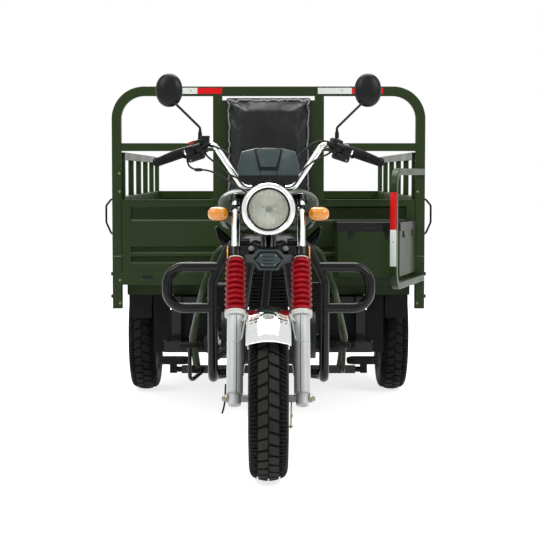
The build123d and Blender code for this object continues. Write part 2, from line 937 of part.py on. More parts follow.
with BuildPart() as exhaust:
    pipe_x = -cover_out - 24
    bent_tube(
        [
            (0, engine_y - 120 - seat_gap, 712),
            (0, engine_y - 170, 712),
            (-20, engine_y - 180, 480),
            (pipe_x, engine_y - 180, 350),
            (pipe_x, engine_y + 60, 350),
            (pipe_x - 20, behind(1090), 350),
        ],
        16,
        22,
    )
    rod((pipe_x - 20, behind(1080), 350), (pipe_x - 20, behind(1240), 350), 46)
exhaust.part.label = "exhaust"

# ================= battery and air filter boxes =================
post_face = seat_rail_out + 14 + seat_gap
box_low = 405
box_high = 622
with BuildPart() as battery_box:
    block((post_face, behind(925), box_low), (post_face + 88, behind(1075), box_high))
    fillet(battery_box.part.edges().filter_by(Axis.X), 10)
battery_box.part.label = "battery_box"

with BuildPart() as air_filter_box:
    block((-post_face - 88, behind(925), box_low), (-post_face, behind(1075), box_high))
    fillet(air_filter_box.part.edges().filter_by(Axis.X), 34)
air_filter_box.part.label = "air_filter_box"

# ================= tank, seat and side panels =================
with BuildPart() as fuel_tank:
    tank_middle = (tank_top + tank_bottom) / 2
    tank_height = tank_top - tank_bottom
    sections = []
    for setback, half, height, lift in (
        (tank_front, 120, 0.74, 0.02),
        (tank_front + 110, tank_half, 1.0, 0.0),
        (tank_back - 150, tank_half - 20, 0.92, -0.04),
        (tank_back, 118, 0.6, -0.2),
    ):
        centre_z = tank_middle + lift * tank_height
        station = Plane(origin=(0, behind(setback), centre_z), x_dir=(1, 0, 0), z_dir=(0, 1, 0))
        with BuildSketch(station) as section:
            RectangleRounded(2 * half, height * tank_height, 0.28 * height * tank_height)
        sections.append(section.sketch)
    loft(sections=sections, ruled=True)
fuel_tank.part.label = "fuel_tank"

with BuildPart() as knee_panels:
    for side in (-1, 1):
        with BuildSketch(Plane(origin=(side * 128, 0, 0), x_dir=(0, 1, 0), z_dir=(1, 0, 0))) as outline:
            with BuildLine():
                Polyline(
                    (behind(646), tank_bottom - 8),
                    (behind(tank_back), tank_bottom - 8),
                    (behind(tank_back + 12), seat_rail_height + 10),
                    (behind(1080), seat_rail_height + 10),
                    (behind(1080), seat_rail_height - 60),
                    (behind(860), 640),
                    (behind(720), 690),
                    close=True,
                )
            make_face()
        extrude(outline.sketch, amount=side * 12)
    # pegs that fix the panels to the seat rails
    for side in (-1, 1):
        rod(
            (side * (seat_rail_out + 15 + seat_gap), behind(1040), seat_rail_height),
            (side * 130, behind(1040), seat_rail_height),
            8,
        )
knee_panels.part.label = "knee_panels"

seat_bottom = seat_rail_height + 15 + seat_gap
with BuildPart() as rider_seat:
    block(
        (-seat_half, behind(seat_front), seat_bottom),
        (seat_half, headboard_front - seat_back_gap, seat_bottom + seat_thick),
    )
    fillet(rider_seat.part.edges().filter_by(Axis.Z), 60)
    fillet(rider_seat.part.faces().sort_by(Axis.Z)[-1].edges(), 26)
rider_seat.part.label = "rider_seat"

with BuildPart() as backrest:
    block(
        (-backrest_half, headboard_front - backrest_thick - seat_gap, backrest_bottom),
        (backrest_half, headboard_front - seat_gap, backrest_top),
    )
    fillet(backrest.part.edges().filter_by(Axis.Y), 28)
    fillet(backrest.part.faces().sort_by(Axis.Y)[0].edges(), 20)
backrest.part.label = "backrest"

# ================= headboard =================
rib_bands = ((674, 706), (718, 748), (858, 921))
with BuildPart() as headboard:
    arch_top = headboard_top - 20
    with BuildLine() as arch:
        FilletPolyline(
            (-post_out, headboard_y, post_bottom),
            (-post_out, headboard_y, arch_top),
            (post_out, headboard_y, arch_top),
            (post_out, headboard_y, post_bottom),
            radius=arch_radius,
        )
    with BuildSketch(Plane(origin=(-post_out, headboard_y, post_bottom), x_dir=(1, 0, 0), z_dir=(0, 0, 1))):
        RectangleRounded(post_width, post_width, 4)
    sweep()
    block(
        (-post_out, headboard_y - 17, mid_rail_bottom),
        (post_out, headboard_y + 17, mid_rail_top),
    )
    for side in (-1, 1):
        block(
            (side * inner_post_out - inner_post_width / 2, headboard_front, panel_top - 10),
            (side * inner_post_out + inner_post_width / 2, headboard_back, arch_top),
        )
    block(
        (-inner_post_out, headboard_front, panel_top - 10),
        (inner_post_out, headboard_front + 6, backrest_top - 10),
    )
    block(
        (-post_out, headboard_y - panel_thick / 2, floor_top - 4),
        (post_out, headboard_y + panel_thick / 2, panel_top),
    )
    for low, high in rib_bands:
        for face in (-1, 1):
            outside = headboard_y + face * panel_thick / 2
            inside = outside - face * 8
            block(
                (-post_out + 60, min(inside, outside), low),
                (post_out - 60, max(inside, outside), high),
                Mode.SUBTRACT,
            )
    block((-post_out, headboard_front, sill_bottom), (post_out, headboard_back, floor_top))
    # front face where the tool box and the seat's back rail fasten
    block(
        (-seat_rail_out - 20, headboard_front, sill_bottom + 20),
        (seat_rail_out + 20, headboard_y, 720),
    )
    block((box_inner, headboard_front, box_bottom), (post_out, headboard_y, 700))
headboard.part.label = "headboard"

# ================= cargo floor =================
hinge_places = [gate_front + 160, (gate_front + gate_back) / 2, gate_back - 160]
knuckle = hinge_length / 2
with BuildPart() as cargo_floor:
    block(
        (-gate_outer + 2, headboard_back + seat_gap, sill_bottom),
        (gate_outer - 2, bed_end - 4, floor_top),
    )
    block(
        (-gate_outer + 44, headboard_back + 40, sill_bottom - 5),
        (gate_outer - 44, bed_end - 46, floor_top - 5),
        Mode.SUBTRACT,
    )
    # each bearer spans the sills, or ends inside the tyre where it would pass over a wheel
    tyre_reach = sqrt(tyre_radius**2 - (rail_top - tyre_radius) ** 2) + 35
    for bearer in range(bearer_count):
        bearer_y = headboard_back + 60 + bearer * (bed_length - 200) / (bearer_count - 1)
        over_wheel = abs(bearer_y - rear_axle_y) < tyre_reach
        reach = track / 2 - tyre_width / 2 - 20 if over_wheel else gate_outer - 40
        block(
            (-reach, bearer_y - 20, rail_top + seat_gap),
            (reach, bearer_y + 20, floor_top - 4),
        )
    # fixed knuckles and pins of the side hinges and the tail hinges
    for side in (-1, 1):
        for place in hinge_places:
            for end in (-1, 1):
                near = place + end * (knuckle + seat_gap)
                far = place + end * (knuckle + 18)
                rod(
                    (side * hinge_out, near, hinge_height),
                    (side * hinge_out, far, hinge_height),
                    hinge_radius,
                )
                block(
                    (min(side * (gate_outer - 4), side * hinge_out), min(near, far), hinge_height - 16),
                    (max(side * (gate_outer - 4), side * hinge_out), max(near, far), hinge_height - 2),
                )
            rod(
                (side * hinge_out, place - knuckle - 10, hinge_height),
                (side * hinge_out, place + knuckle + 10, hinge_height),
                hinge_pin_radius,
            )
    for place in (-460, 0, 460):
        for end in (-1, 1):
            near = place + end * (knuckle + seat_gap)
            far = place + end * (knuckle + 18)
            tail_y = bed_end + tail_hinge_out
            rod((near, tail_y, hinge_height), (far, tail_y, hinge_height), hinge_radius)
            block(
                (min(near, far), bed_end - 6, hinge_height - 16),
                (max(near, far), tail_y, hinge_height - 2),
            )
        rod(
            (place - knuckle - 10, bed_end + tail_hinge_out, hinge_height),
            (place + knuckle + 10, bed_end + tail_hinge_out, hinge_height),
            hinge_pin_radius,
        )
cargo_floor.part.label = "cargo_floor"

# ================= side gates and tailgate =================
gate_parts = {}
for side, word in ((-1, "right"), (1, "left")):
    with BuildPart() as side_gate:
        low_x = min(side * gate_inner, side * gate_outer)
        high_x = max(side * gate_inner, side * gate_outer)
        block((low_x, gate_front, gate_bottom), (high_x, gate_back, gate_top))
        for low, high in rib_bands:
            for face in (gate_inner, gate_outer - 10):
                block(
                    (min(side * face, side * (face + 10)), gate_front + 40, low),
                    (max(side * face, side * (face + 10)), gate_back - 40, high),
                    Mode.SUBTRACT,
                )
        for place in hinge_places:
            rod(
                (side * hinge_out, place - knuckle, hinge_height),
                (side * hinge_out, place + knuckle, hinge_height),
                hinge_radius,
            )
            block(
                (min(side * (gate_outer - 2), side * (gate_outer + 6)), place - knuckle, hinge_height),
                (max(side * (gate_outer - 2), side * (gate_outer + 6)), place + knuckle, hinge_height + 80),
            )
            rod(
                (side * hinge_out, place - knuckle - 1, hinge_height),
                (side * hinge_out, place + knuckle + 1, hinge_height),
                hinge_pin_radius + run_gap,
                Mode.SUBTRACT,
            )
    side_gate.part.label = "side_gate_" + word
    gate_parts["side_gate_" + word] = side_gate.part

    with BuildPart() as side_fence:
        fence_low = min(side * gate_inner, side * (gate_inner + fence_thick))
        fence_high = max(side * gate_inner, side * (gate_inner + fence_thick))
        block((fence_low, gate_front, fence_top - 33), (fence_high, gate_back, fence_top))
        for slat in range(fence_bays + 1):
            slat_y = gate_front + slat * (gate_back - gate_front - 25) / fence_bays
            block(
                (fence_low, slat_y, gate_top + seat_gap),
                (fence_high, slat_y + 25, fence_top - 33 - seat_gap),
            )
    side_fence.part.label = "side_fence_" + word
    gate_parts["side_fence_" + word] = side_fence.part

    with BuildPart() as gate_latch:
        latch_y = gate_front + 24
        bent_tube(
            mirrored(
                side,
                [
                    (gate_outer + seat_gap, latch_y, gate_top - 12),
                    (gate_outer + latch_bend, latch_y, gate_top - 12),
                    (latch_out, latch_y, gate_top - 40),
                    (latch_out, latch_y, 850),
                    (gate_outer + latch_bend, latch_y, 800),
                    (gate_outer + seat_gap, latch_y, 800),
                ],
            ),
            4.5,
            12,
        )
        block(
            (min(side * (gate_outer + seat_gap), side * (gate_outer + 7)), latch_y - 14, 856),
            (max(side * (gate_outer + seat_gap), side * (gate_outer + 7)), latch_y + 60, 900),
        )
    gate_latch.part.label = "gate_latch_" + word
    gate_parts["gate_latch_" + word] = gate_latch.part

with BuildPart() as tailgate:
    block((-gate_outer, tail_inner, gate_bottom), (gate_outer, bed_end, gate_top))
    for low, high in rib_bands:
        for face in (tail_inner, bed_end - 10):
            block((-gate_outer + 50, face, low), (gate_outer - 50, face + 10, high), Mode.SUBTRACT)
    for place in (-460, 0, 460):
        tail_y = bed_end + tail_hinge_out
        rod((place - knuckle, tail_y, hinge_height), (place + knuckle, tail_y, hinge_height), hinge_radius)
        block(
            (place - knuckle, bed_end - 2, hinge_height),
            (place + knuckle, bed_end + 6, hinge_height + 80),
        )
        rod(
            (place - knuckle - 1, tail_y, hinge_height),
            (place + knuckle + 1, tail_y, hinge_height),
            hinge_pin_radius + run_gap,
            Mode.SUBTRACT,
        )
tailgate.part.label = "tailgate"

# ================= tool box, lid and guard =================
box_back = headboard_front - seat_gap
box_front = box_back - box_depth
lid_hinge_y = box_back - 14
lid_hinge_z = lid_top - 6
slant = (box_back_outer - box_front_outer) / box_depth


def box_outline(margin, back):
    """The box's plan outline, grown outwards by a margin on three sides."""
    outer_front = box_front_outer + margin - slant * margin
    outer_back = box_back_outer + margin - slant * (box_back - back)
    Polyline(
        (box_inner - margin, box_front - margin),
        (outer_front, box_front - margin),
        (outer_back, back),
        (box_inner - margin, back),
        close=True,
    )


knuckle_places = (box_inner + 70, box_back_outer - 90)
with BuildPart() as tool_box:
    with BuildSketch(Plane.XY.offset(box_bottom)) as shell:
        with BuildLine():
            box_outline(0, box_back)
        make_face()
    extrude(shell.sketch, amount=lid_bottom + 22 - box_bottom)
    with BuildSketch(Plane.XY.offset(box_bottom + box_wall)) as hollow:
        with BuildLine():
            box_outline(-box_wall, box_back - box_wall)
        make_face()
    extrude(hollow.sketch, amount=lid_top - box_bottom, mode=Mode.SUBTRACT)
    for place in knuckle_places:
        for end in (-1, 1):
            near = place + end * (15 + seat_gap)
            far = place + end * 30
            rod((near, lid_hinge_y, lid_hinge_z), (far, lid_hinge_y, lid_hinge_z), lid_hinge_radius)
            block(
                (min(near, far), lid_hinge_y, lid_bottom + 14),
                (max(near, far), box_back, lid_hinge_z + 3),
            )
        rod(
            (place - 20, lid_hinge_y, lid_hinge_z),
            (place + 20, lid_hinge_y, lid_hinge_z),
            lid_pin_radius,
        )
tool_box.part.label = "tool_box"

with BuildPart() as tool_box_lid:
    lid_back = lid_hinge_y - lid_hinge_radius - 2
    with BuildSketch(Plane.XY.offset(lid_bottom)) as cover:
        with BuildLine():
            box_outline(lid_overhang, lid_back)
        make_face()
    extrude(cover.sketch, amount=lid_top - lid_bottom)
    with BuildSketch(Plane.XY.offset(lid_bottom - 1)) as hollow:
        with BuildLine():
            box_outline(lid_overhang - 3, box_back)
        make_face()
    extrude(hollow.sketch, amount=lid_top - lid_bottom - 3, mode=Mode.SUBTRACT)
    for place in knuckle_places:
        rod((place - 15, lid_hinge_y, lid_hinge_z), (place + 15, lid_hinge_y, lid_hinge_z), lid_hinge_radius)
        block((place - 15, lid_back - 6, lid_top - 3), (place + 15, lid_hinge_y, lid_top))
        rod(
            (place - 16, lid_hinge_y, lid_hinge_z),
            (place + 16, lid_hinge_y, lid_hinge_z),
            lid_pin_radius + run_gap,
            Mode.SUBTRACT,
        )
tool_box_lid.part.label = "tool_box_lid"

with BuildPart() as tool_box_guard:
    guard_back_y = headboard_front - seat_gap
    guard_front_y = guard_back_y - hoop_depth
    with BuildLine() as run:
        FilletPolyline(
            (hoop_back_out, guard_back_y, hoop_top),
            (hoop_front_out, guard_front_y, hoop_top),
            (hoop_front_out, guard_front_y, hoop_bottom),
            (hoop_back_out, guard_back_y, hoop_bottom),
            radius=66,
        )
    with BuildSketch(Plane(origin=run.line @ 0, x_dir=(0, 0, 1), z_dir=run.line % 0)):
        RectangleRounded(hoop_tube, hoop_tube, 4)
    sweep()
    block(
        (hoop_back_out - 40, guard_back_y, hoop_bottom - 40),
        (hoop_back_out + 40, guard_back_y + 40, hoop_top + 40),
        Mode.SUBTRACT,
    )
tool_box_guard.part.label = "tool_box_guard"

# ================= footrests and pedals =================
rest_out = rest_half + 34
with BuildPart() as footrests:
    for side in (-1, 1):
        with BuildSketch(Plane(origin=(side * rest_out, behind(rest_setback), 294), z_dir=(0, 0, 1))) as pad:
            SlotOverall(134, 74)
        extrude(pad.sketch, amount=24)
        rod(
            (side * (rest_half + seat_gap), behind(rest_setback), cradle_height - 30),
            (side * rest_out, behind(rest_setback), cradle_height - 30),
            11,
        )
        block(
            (side * rest_out - 14, behind(rest_setback) - 12, cradle_height - 44),
            (side * rest_out + 14, behind(rest_setback) + 12, 296),
        )
footrests.part.label = "footrests"

rest_front = rest_setback - 14
with BuildPart() as foot_pedals:
    # the brake pedal on the right swings under its own pad, and the gear lever on the left stands on a stub
    bent_tube(
        [
            (-268, behind(rest_front) - seat_gap, cradle_height - 30),
            (-268, behind(rest_front - 60), cradle_height - 32),
            (-312, behind(rest_front - 128), 238),
            (-312, behind(rest_front - 140), 380),
        ],
        8,
        22,
    )
    block((-350, behind(rest_front - 164), 376), (-284, behind(rest_front - 128), 392))
    bent_tube(
        [
            (300, behind(rest_front) - seat_gap, cradle_height - 30),
            (300, behind(rest_front - 60), cradle_height - 30),
            (300, behind(rest_front - 120), 376),
        ],
        8,
        24,
    )
    block((266, behind(rest_front - 142), 376), (324, behind(rest_front - 106), 392))
foot_pedals.part.label = "foot_pedals"

# ================= mud flaps, rear axle, springs =================
flap_y = rear_axle_y - tyre_radius - 62
flap_in = track / 2 - 113
flap_wide = track / 2 - 141
flap_wide_low = 276
flap_split = track / 2 - 53
flap_out = gate_outer - 6
flap_low = 223
flap_high = 384
with BuildPart() as mud_flaps:
    for side in (-1, 1):
        for inner, outer, half, low in (
            (flap_in, flap_split - 9, 2, flap_low),
            (flap_wide, flap_in + 1, 2, flap_wide_low),
            (flap_split, flap_out, 2, flap_high),
            (flap_wide, flap_out, 6, sill_bottom - 30),
        ):
            block(
                (min(side * inner, side * outer), flap_y - half, low),
                (max(side * inner, side * outer), flap_y + half, sill_bottom - seat_gap),
            )
mud_flaps.part.label = "mud_flaps"

# a rubber apron behind the frame's posts keeps the road off the engine's back, open round the drive shaft
apron_half = rail_out + rail_width / 2 + 16
apron_front = headboard_front + 10 + seat_gap
with BuildPart() as mud_apron:
    block(
        (-apron_half, apron_front, cross_beam_height + cross_beam_size / 2 + seat_gap),
        (apron_half, apron_front + 5, rail_bottom - seat_gap),
    )
    block((-45, apron_front - 5, cross_beam_height), (45, apron_front + 10, 430), Mode.SUBTRACT)
mud_apron.part.label = "mud_apron"

pad_top = tyre_radius + axle_tube_radius + 12
with BuildPart() as rear_axle:
    plate_in = rear_hub_in - seat_gap - 8
    rod((-plate_in, rear_axle_y, tyre_radius), (plate_in, rear_axle_y, tyre_radius), axle_tube_radius)
    rod((-70, rear_axle_y, tyre_radius), (70, rear_axle_y, tyre_radius), 118)
    rod((0, rear_axle_y - 190, tyre_radius), (0, rear_axle_y, tyre_radius), 52)
    for side in (-1, 1):
        rod(
            (side * plate_in, rear_axle_y, tyre_radius),
            (side * (plate_in + 8), rear_axle_y, tyre_radius),
            rear_drum_radius,
        )
        rod(
            (side * plate_in, rear_axle_y, tyre_radius),
            (side * stub_end, rear_axle_y, tyre_radius),
            rear_stub_radius,
        )
        nut_plane = Plane(
            origin=(side * (track / 2 + 40 + seat_gap), rear_axle_y, tyre_radius), z_dir=(side, 0, 0)
        )
        with BuildSketch(nut_plane) as nut:
            RegularPolygon(radius=26, side_count=6)
        extrude(nut.sketch, amount=14)
        block(
            (side * rail_out - 36, rear_axle_y - 44, tyre_radius),
            (side * rail_out + 36, rear_axle_y + 44, pad_top),
        )
    # drive shaft from the gearbox
    rod((0, engine_y + 160 + 3.5, 430), (0, rear_axle_y - 180, tyre_radius + 4), 24)
rear_axle.part.label = "rear_axle"

eye_height = rail_bottom - 24
with BuildPart() as leaf_springs:
    sag = eye_height - pad_top
    for side in (-1, 1):
        for leaf in range(4):
            share = 1 - 0.22 * leaf
            half = spring_half_length * share
            mid = pad_top + seat_gap + (3 - leaf) * spring_leaf
            lift = (sag - 3.5 * spring_leaf) * share * share
            tip = mid + lift
            tip_top = tip + spring_leaf
            beside = Plane(origin=(side * rail_out, rear_axle_y, 0), x_dir=(0, 1, 0), z_dir=(1, 0, 0))
            with BuildSketch(beside) as side_view:
                with BuildLine():
                    ThreePointArc((-half, tip), (0, mid), (half, tip))
                    Line((half, tip), (half, tip_top))
                    ThreePointArc((half, tip_top), (0, mid + spring_leaf), (-half, tip_top))
                    Line((-half, tip_top), (-half, tip))
                make_face()
            extrude(side_view.sketch, amount=spring_width / 2, both=True)
        for end in (-1, 1):
            eye_y = rear_axle_y + end * spring_half_length
            rod(
                (side * rail_out - spring_width / 2, eye_y, eye_height),
                (side * rail_out + spring_width / 2, eye_y, eye_height),
                spring_eye_radius,
            )
            rod(
                (side * rail_out - spring_width / 2 - 8, eye_y, eye_height),
                (side * rail_out + spring_width / 2 + 8, eye_y, eye_height),
                7,
            )
leaf_springs.part.label = "leaf_springs"

# ================= tail lamps and plate =================
lamp_back = bed_end - 28
with BuildPart() as tail_lights:
    for side in (-1, 1):
        block(
            (min(side * 300, side * 440), bed_end - 70 + seat_gap, 480),
            (max(side * 300, side * 440), lamp_back, 545),
        )
tail_lights.part.label = "tail_lights"

with BuildPart() as number_plate:
    block((-110, bed_end - 70 + seat_gap, 452), (110, bed_end - 64, 572))
    block((-60, bed_end - 90, 452), (60, bed_end - 64, 470 + 8 - seat_gap))
    for place in (-70, 70):
        rod((place, bed_end - 100, 540), (place, bed_end - 60, 540), 3.5, Mode.SUBTRACT)
number_plate.part.label = "number_plate"

# ================= control cables =================
cable_radius = 3.5


def cable_radii(route):
    """Each corner's arc: as large as its two runs allow."""
    radii = []
    for before, corner, after in zip(route, route[1:], route[2:]):
        first = Vector(*corner) - Vector(*before)
        second = Vector(*after) - Vector(*corner)
        turn = radians(first.get_angle(second))
        radii.append(0.45 * min(first.length, second.length) / tan(turn / 2))
    return radii


throttle_route = [
    (-232, bar_y + 11, 1177),
    (-212, bar_y - 2, 1168),
    (-188, bar_y - 20, 1159),
    (-162, bar_y - 35, 1147),
    (-137, bar_y - 49, 1131),
    (-116, bar_y - 61, 1109),
    (-99, bar_y - 70, 1084),
]
brake_route = [
    (-240, bar_y + 22, 1150),
    (-230, bar_y + 4, 1131),
    (-207, bar_y - 12, 1112),
    (-181, bar_y - 25, 1092),
    (-156, bar_y - 38, 1071),
    (-132, bar_y - 52, 1054),
    (-97, bar_y - 71, 1042),
]
stop_route = [
    (-304, bar_y + 58, 1128),
    (-302, bar_y + 50, 1104),
    (-290, bar_y + 40, 1085),
    (-265, bar_y + 28, 1078),
    (-236, bar_y + 15, 1078),
    (-207, bar_y + 1, 1071),
    (-179, bar_y - 13, 1057),
    (-151, bar_y - 28, 1041),
    (-124, bar_y - 44, 1024),
    (-98, bar_y - 62, 1007),
    (-73, bar_y - 82, 990),
    (-50, bar_y - 103, 972),
]
clutch_route = [
    (236, bar_y + 13, 1177),
    (216, bar_y + 6, 1182),
    (190, bar_y - 6, 1185),
    (163, bar_y - 12, 1174),
    (138, bar_y - 14, 1154),
    (116, bar_y - 16, 1131),
    (95, bar_y - 20, 1109),
    (76, bar_y - 26, 1093),
    (58, bar_y - 33, 1084),
]
switch_route = [
    (238, bar_y + 24, 1150),
    (222, bar_y + 6, 1136),
    (199, bar_y - 11, 1127),
    (173, bar_y - 26, 1114),
    (148, bar_y - 41, 1097),
    (124, bar_y - 56, 1077),
    (99, bar_y - 70, 1056),
]
with BuildPart() as control_cables:
    for route in (throttle_route, brake_route, stop_route, clutch_route, switch_route):
        radii = cable_radii(route)
        with BuildLine() as path:
            FilletPolyline(*route, radius=radii)
        with BuildSketch(path.line ^ 0) as section:
            Circle(cable_radius)
        sweep(sections=section.sketch, path=path.line)
    add(instrument_cowl.part, mode=Mode.SUBTRACT)
    add(hand_controls.part, mode=Mode.SUBTRACT)
    add(headlight.part, mode=Mode.SUBTRACT)
control_cables.part.label = "control_cables"

# ================= write the sub-parts =================
os.makedirs("parts", exist_ok=True)
pieces = {
    "front_tyre": front_tyre.part,
    "front_rim": front_rim.part,
    "front_axle": front_axle.part,
    "fork_sliders": fork_sliders.part,
    "fork_tubes": fork_tubes.part,
    "fork_bellows": fork_bellows.part,
    "fork_yokes": fork_yokes.part,
    "front_mudguard": front_mudguard.part,
    "handlebar": handlebar.part,
    "hand_grips": hand_grips.part,
    "hand_controls": hand_controls.part,
    "mirrors": mirrors.part,
    "headlight": headlight.part,
    "headlight_lens": headlight_lens.part,
    "turn_signals": turn_signals.part,
    "instrument_cowl": instrument_cowl.part,
    "horn_cover": horn_cover.part,
    "crash_bar": crash_bar.part,
    "chassis_frame": chassis_frame.part,
    "rear_frame": rear_frame.part,
    "frame_side_hoops": frame_side_hoops.part,
    "engine": engine.part,
    "exhaust": exhaust.part,
    "battery_box": battery_box.part,
    "air_filter_box": air_filter_box.part,
    "fuel_tank": fuel_tank.part,
    "knee_panels": knee_panels.part,
    "rider_seat": rider_seat.part,
    "backrest": backrest.part,
    "headboard": headboard.part,
    "cargo_floor": cargo_floor.part,
    "tailgate": tailgate.part,
    "tool_box": tool_box.part,
    "tool_box_lid": tool_box_lid.part,
    "tool_box_guard": tool_box_guard.part,
    "footrests": footrests.part,
    "foot_pedals": foot_pedals.part,
    "mud_flaps": mud_flaps.part,
    "mud_apron": mud_apron.part,
    "rear_axle": rear_axle.part,
    "leaf_springs": leaf_springs.part,
    "tail_lights": tail_lights.part,
    "number_plate": number_plate.part,
    "control_cables": control_cables.part,
}
pieces.update(rear_parts)
pieces.update(gate_parts)
for name, piece in pieces.items():
    export_step(piece, "parts/" + name + ".step")
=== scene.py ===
"""Cargo motor tricycle: finishes, soft goods and fittings made round the loaded frame."""
import json
from math import ceil, cos, degrees, pi, radians, sin, sqrt

import bmesh
import bpy
import numpy as np
from mathutils import Matrix, Vector


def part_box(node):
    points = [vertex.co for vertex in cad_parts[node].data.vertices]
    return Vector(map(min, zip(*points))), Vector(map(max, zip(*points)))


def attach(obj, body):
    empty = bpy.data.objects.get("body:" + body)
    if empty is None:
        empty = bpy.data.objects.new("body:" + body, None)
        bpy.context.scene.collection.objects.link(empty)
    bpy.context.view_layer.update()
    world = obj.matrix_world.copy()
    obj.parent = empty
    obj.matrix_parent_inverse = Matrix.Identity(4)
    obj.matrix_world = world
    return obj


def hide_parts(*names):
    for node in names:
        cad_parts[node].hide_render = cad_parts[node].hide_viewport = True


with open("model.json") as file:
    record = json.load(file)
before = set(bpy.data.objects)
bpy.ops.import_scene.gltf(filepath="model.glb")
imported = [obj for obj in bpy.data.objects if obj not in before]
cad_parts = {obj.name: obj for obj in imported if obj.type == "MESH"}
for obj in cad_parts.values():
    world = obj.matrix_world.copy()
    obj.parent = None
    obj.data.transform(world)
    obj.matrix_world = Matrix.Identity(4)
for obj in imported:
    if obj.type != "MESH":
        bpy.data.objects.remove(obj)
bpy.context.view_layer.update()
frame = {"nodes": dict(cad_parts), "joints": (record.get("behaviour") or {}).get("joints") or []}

bl_info = {
    "name": "Cargo motor tricycle",
    "version": (1, 0, 0),
    "blender": (4, 5, 0),
    "location": "View3D > Sidebar > Tricycle",
    "description": "Builds the visible pieces of a cargo motor tricycle round its packed frame",
    "category": "Object",
}

NODES = frame["nodes"]
AXLE = (Vector(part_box("front_tyre")[0]) + Vector(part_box("front_tyre")[1])) / 2
TYRE_RADIUS = (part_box("front_tyre")[1][2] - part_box("front_tyre")[0][2]) / 2
MM = 0.001
SIDES = ((-1, "right"), (1, "left"))


# ---------------------------------------------------------------- small tools
def sRGB(red, green, blue):
    """A display colour as the linear values that the shader takes."""
    return tuple(((c + 0.055) / 1.055) ** 2.4 if c > 0.04045 else c / 12.92 for c in (red, green, blue))


def behind(millimetres):
    """The Y of a place that far behind the front axle."""
    return AXLE.y + millimetres * MM


def span(node):
    """The low and the high corner of a node's box."""
    return [Vector(corner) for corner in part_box(node)]


def add_object(name, mesh):
    """A new object at the origin that holds a mesh or a curve."""
    made = bpy.data.objects.new(name, mesh)
    bpy.context.scene.collection.objects.link(made)
    return made


def smooth(made, angle=35.0):
    """Smooth shading with edges kept sharp past an angle."""
    mesh = made.data
    mesh.polygons.foreach_set("use_smooth", [True] * len(mesh.polygons))
    mesh.set_sharp_from_angle(angle=radians(angle))
    return made


def mesh_from(name, points, faces):
    """A mesh object from points and faces, with doubles merged and faces outward."""
    mesh = bpy.data.meshes.new(name)
    mesh.from_pydata([tuple(p) for p in points], [], faces)
    shape = bmesh.new()
    shape.from_mesh(mesh)
    bmesh.ops.remove_doubles(shape, verts=shape.verts, dist=1e-6)
    bmesh.ops.dissolve_degenerate(shape, dist=1e-7, edges=shape.edges)
    bmesh.ops.recalc_face_normals(shape, faces=shape.faces)
    shape.to_mesh(mesh)
    shape.free()
    mesh.update()
    return add_object(name, mesh)


def settle(made):
    """Turns a piece with modifiers, or a curve, into a plain mesh of the same name."""
    graph = bpy.context.evaluated_depsgraph_get()
    graph.update()
    plain = bpy.data.meshes.new_from_object(made.evaluated_get(graph))
    if made.type == "MESH":
        made.modifiers.clear()
        made.data = plain
        return made
    name = made.name
    materials = [s.material for s in made.material_slots if s.material]
    bpy.data.objects.remove(made)
    solid = add_object(name, plain)
    if materials and not plain.materials:
        plain.materials.append(materials[0])
    return solid


def join(name, *made):
    """Several mesh objects as one."""
    shape = bmesh.new()
    materials = []
    for piece in made:
        start = len(shape.faces)
        shape.from_mesh(piece.data)
        shape.faces.ensure_lookup_table()
        own = list(piece.data.materials)
        for face in shape.faces[start:]:
            finish = own[face.material_index] if own else None
            if finish not in materials:
                materials.append(finish)
            face.material_index = materials.index(finish)
    mesh = bpy.data.meshes.new(name)
    shape.to_mesh(mesh)
    shape.free()
    for piece in made:
        bpy.data.objects.remove(piece)
    for used in materials:
        if used is not None:
            mesh.materials.append(used)
    return add_object(name, mesh)


def frame_of(axis):
    """Two directions square to an axis."""
    axis = Vector(axis).normalized()
    side = Vector((0, 0, 1)).cross(axis)
    if side.length < 1e-4:
        side = Vector((1, 0, 0)).cross(axis)
    side.normalize()
    return side, axis.cross(side).normalized()


def lathe(name, profile, centre, axis, steps=48):
    """Turns (radius, distance) points about an axis, as a closed ring if they start off it."""
    axis = Vector(axis).normalized()
    side, up = frame_of(axis)
    centre = Vector(centre)
    points = []
    for radius, along in profile:
        for step in range(steps):
            turn = 2 * pi * step / steps
            points.append(centre + axis * along + (side * cos(turn) + up * sin(turn)) * radius)
    count = len(profile)
    closed = profile[0][0] > 0
    faces = []
    for ring in range(count if closed else count - 1):
        after = (ring + 1) % count
        for step in range(steps):
            right = (step + 1) % steps
            faces.append((ring * steps + step, ring * steps + right, after * steps + right,
                          after * steps + step))
    if not closed:
        for ring in (0, count - 1):
            if profile[ring][0] > 1e-6:
                faces.append(tuple(ring * steps + step for step in range(steps)))
    return smooth(mesh_from(name, points, faces))


def loft(name, rings, capped=True, angle=35.0):
    """Joins rings of equal length, with flat ends."""
    steps = len(rings[0])
    points = [point for ring in rings for point in ring]
    faces = []
    for ring in range(len(rings) - 1):
        for step in range(steps):
            right = (step + 1) % steps
            a = ring * steps
            b = a + steps
            faces.append((a + step, a + right, b + right, b + step))
    if capped:
        faces.append(tuple(range(steps)))
        faces.append(tuple((len(rings) - 1) * steps + step for step in range(steps)))
    return smooth(mesh_from(name, points, faces), angle)


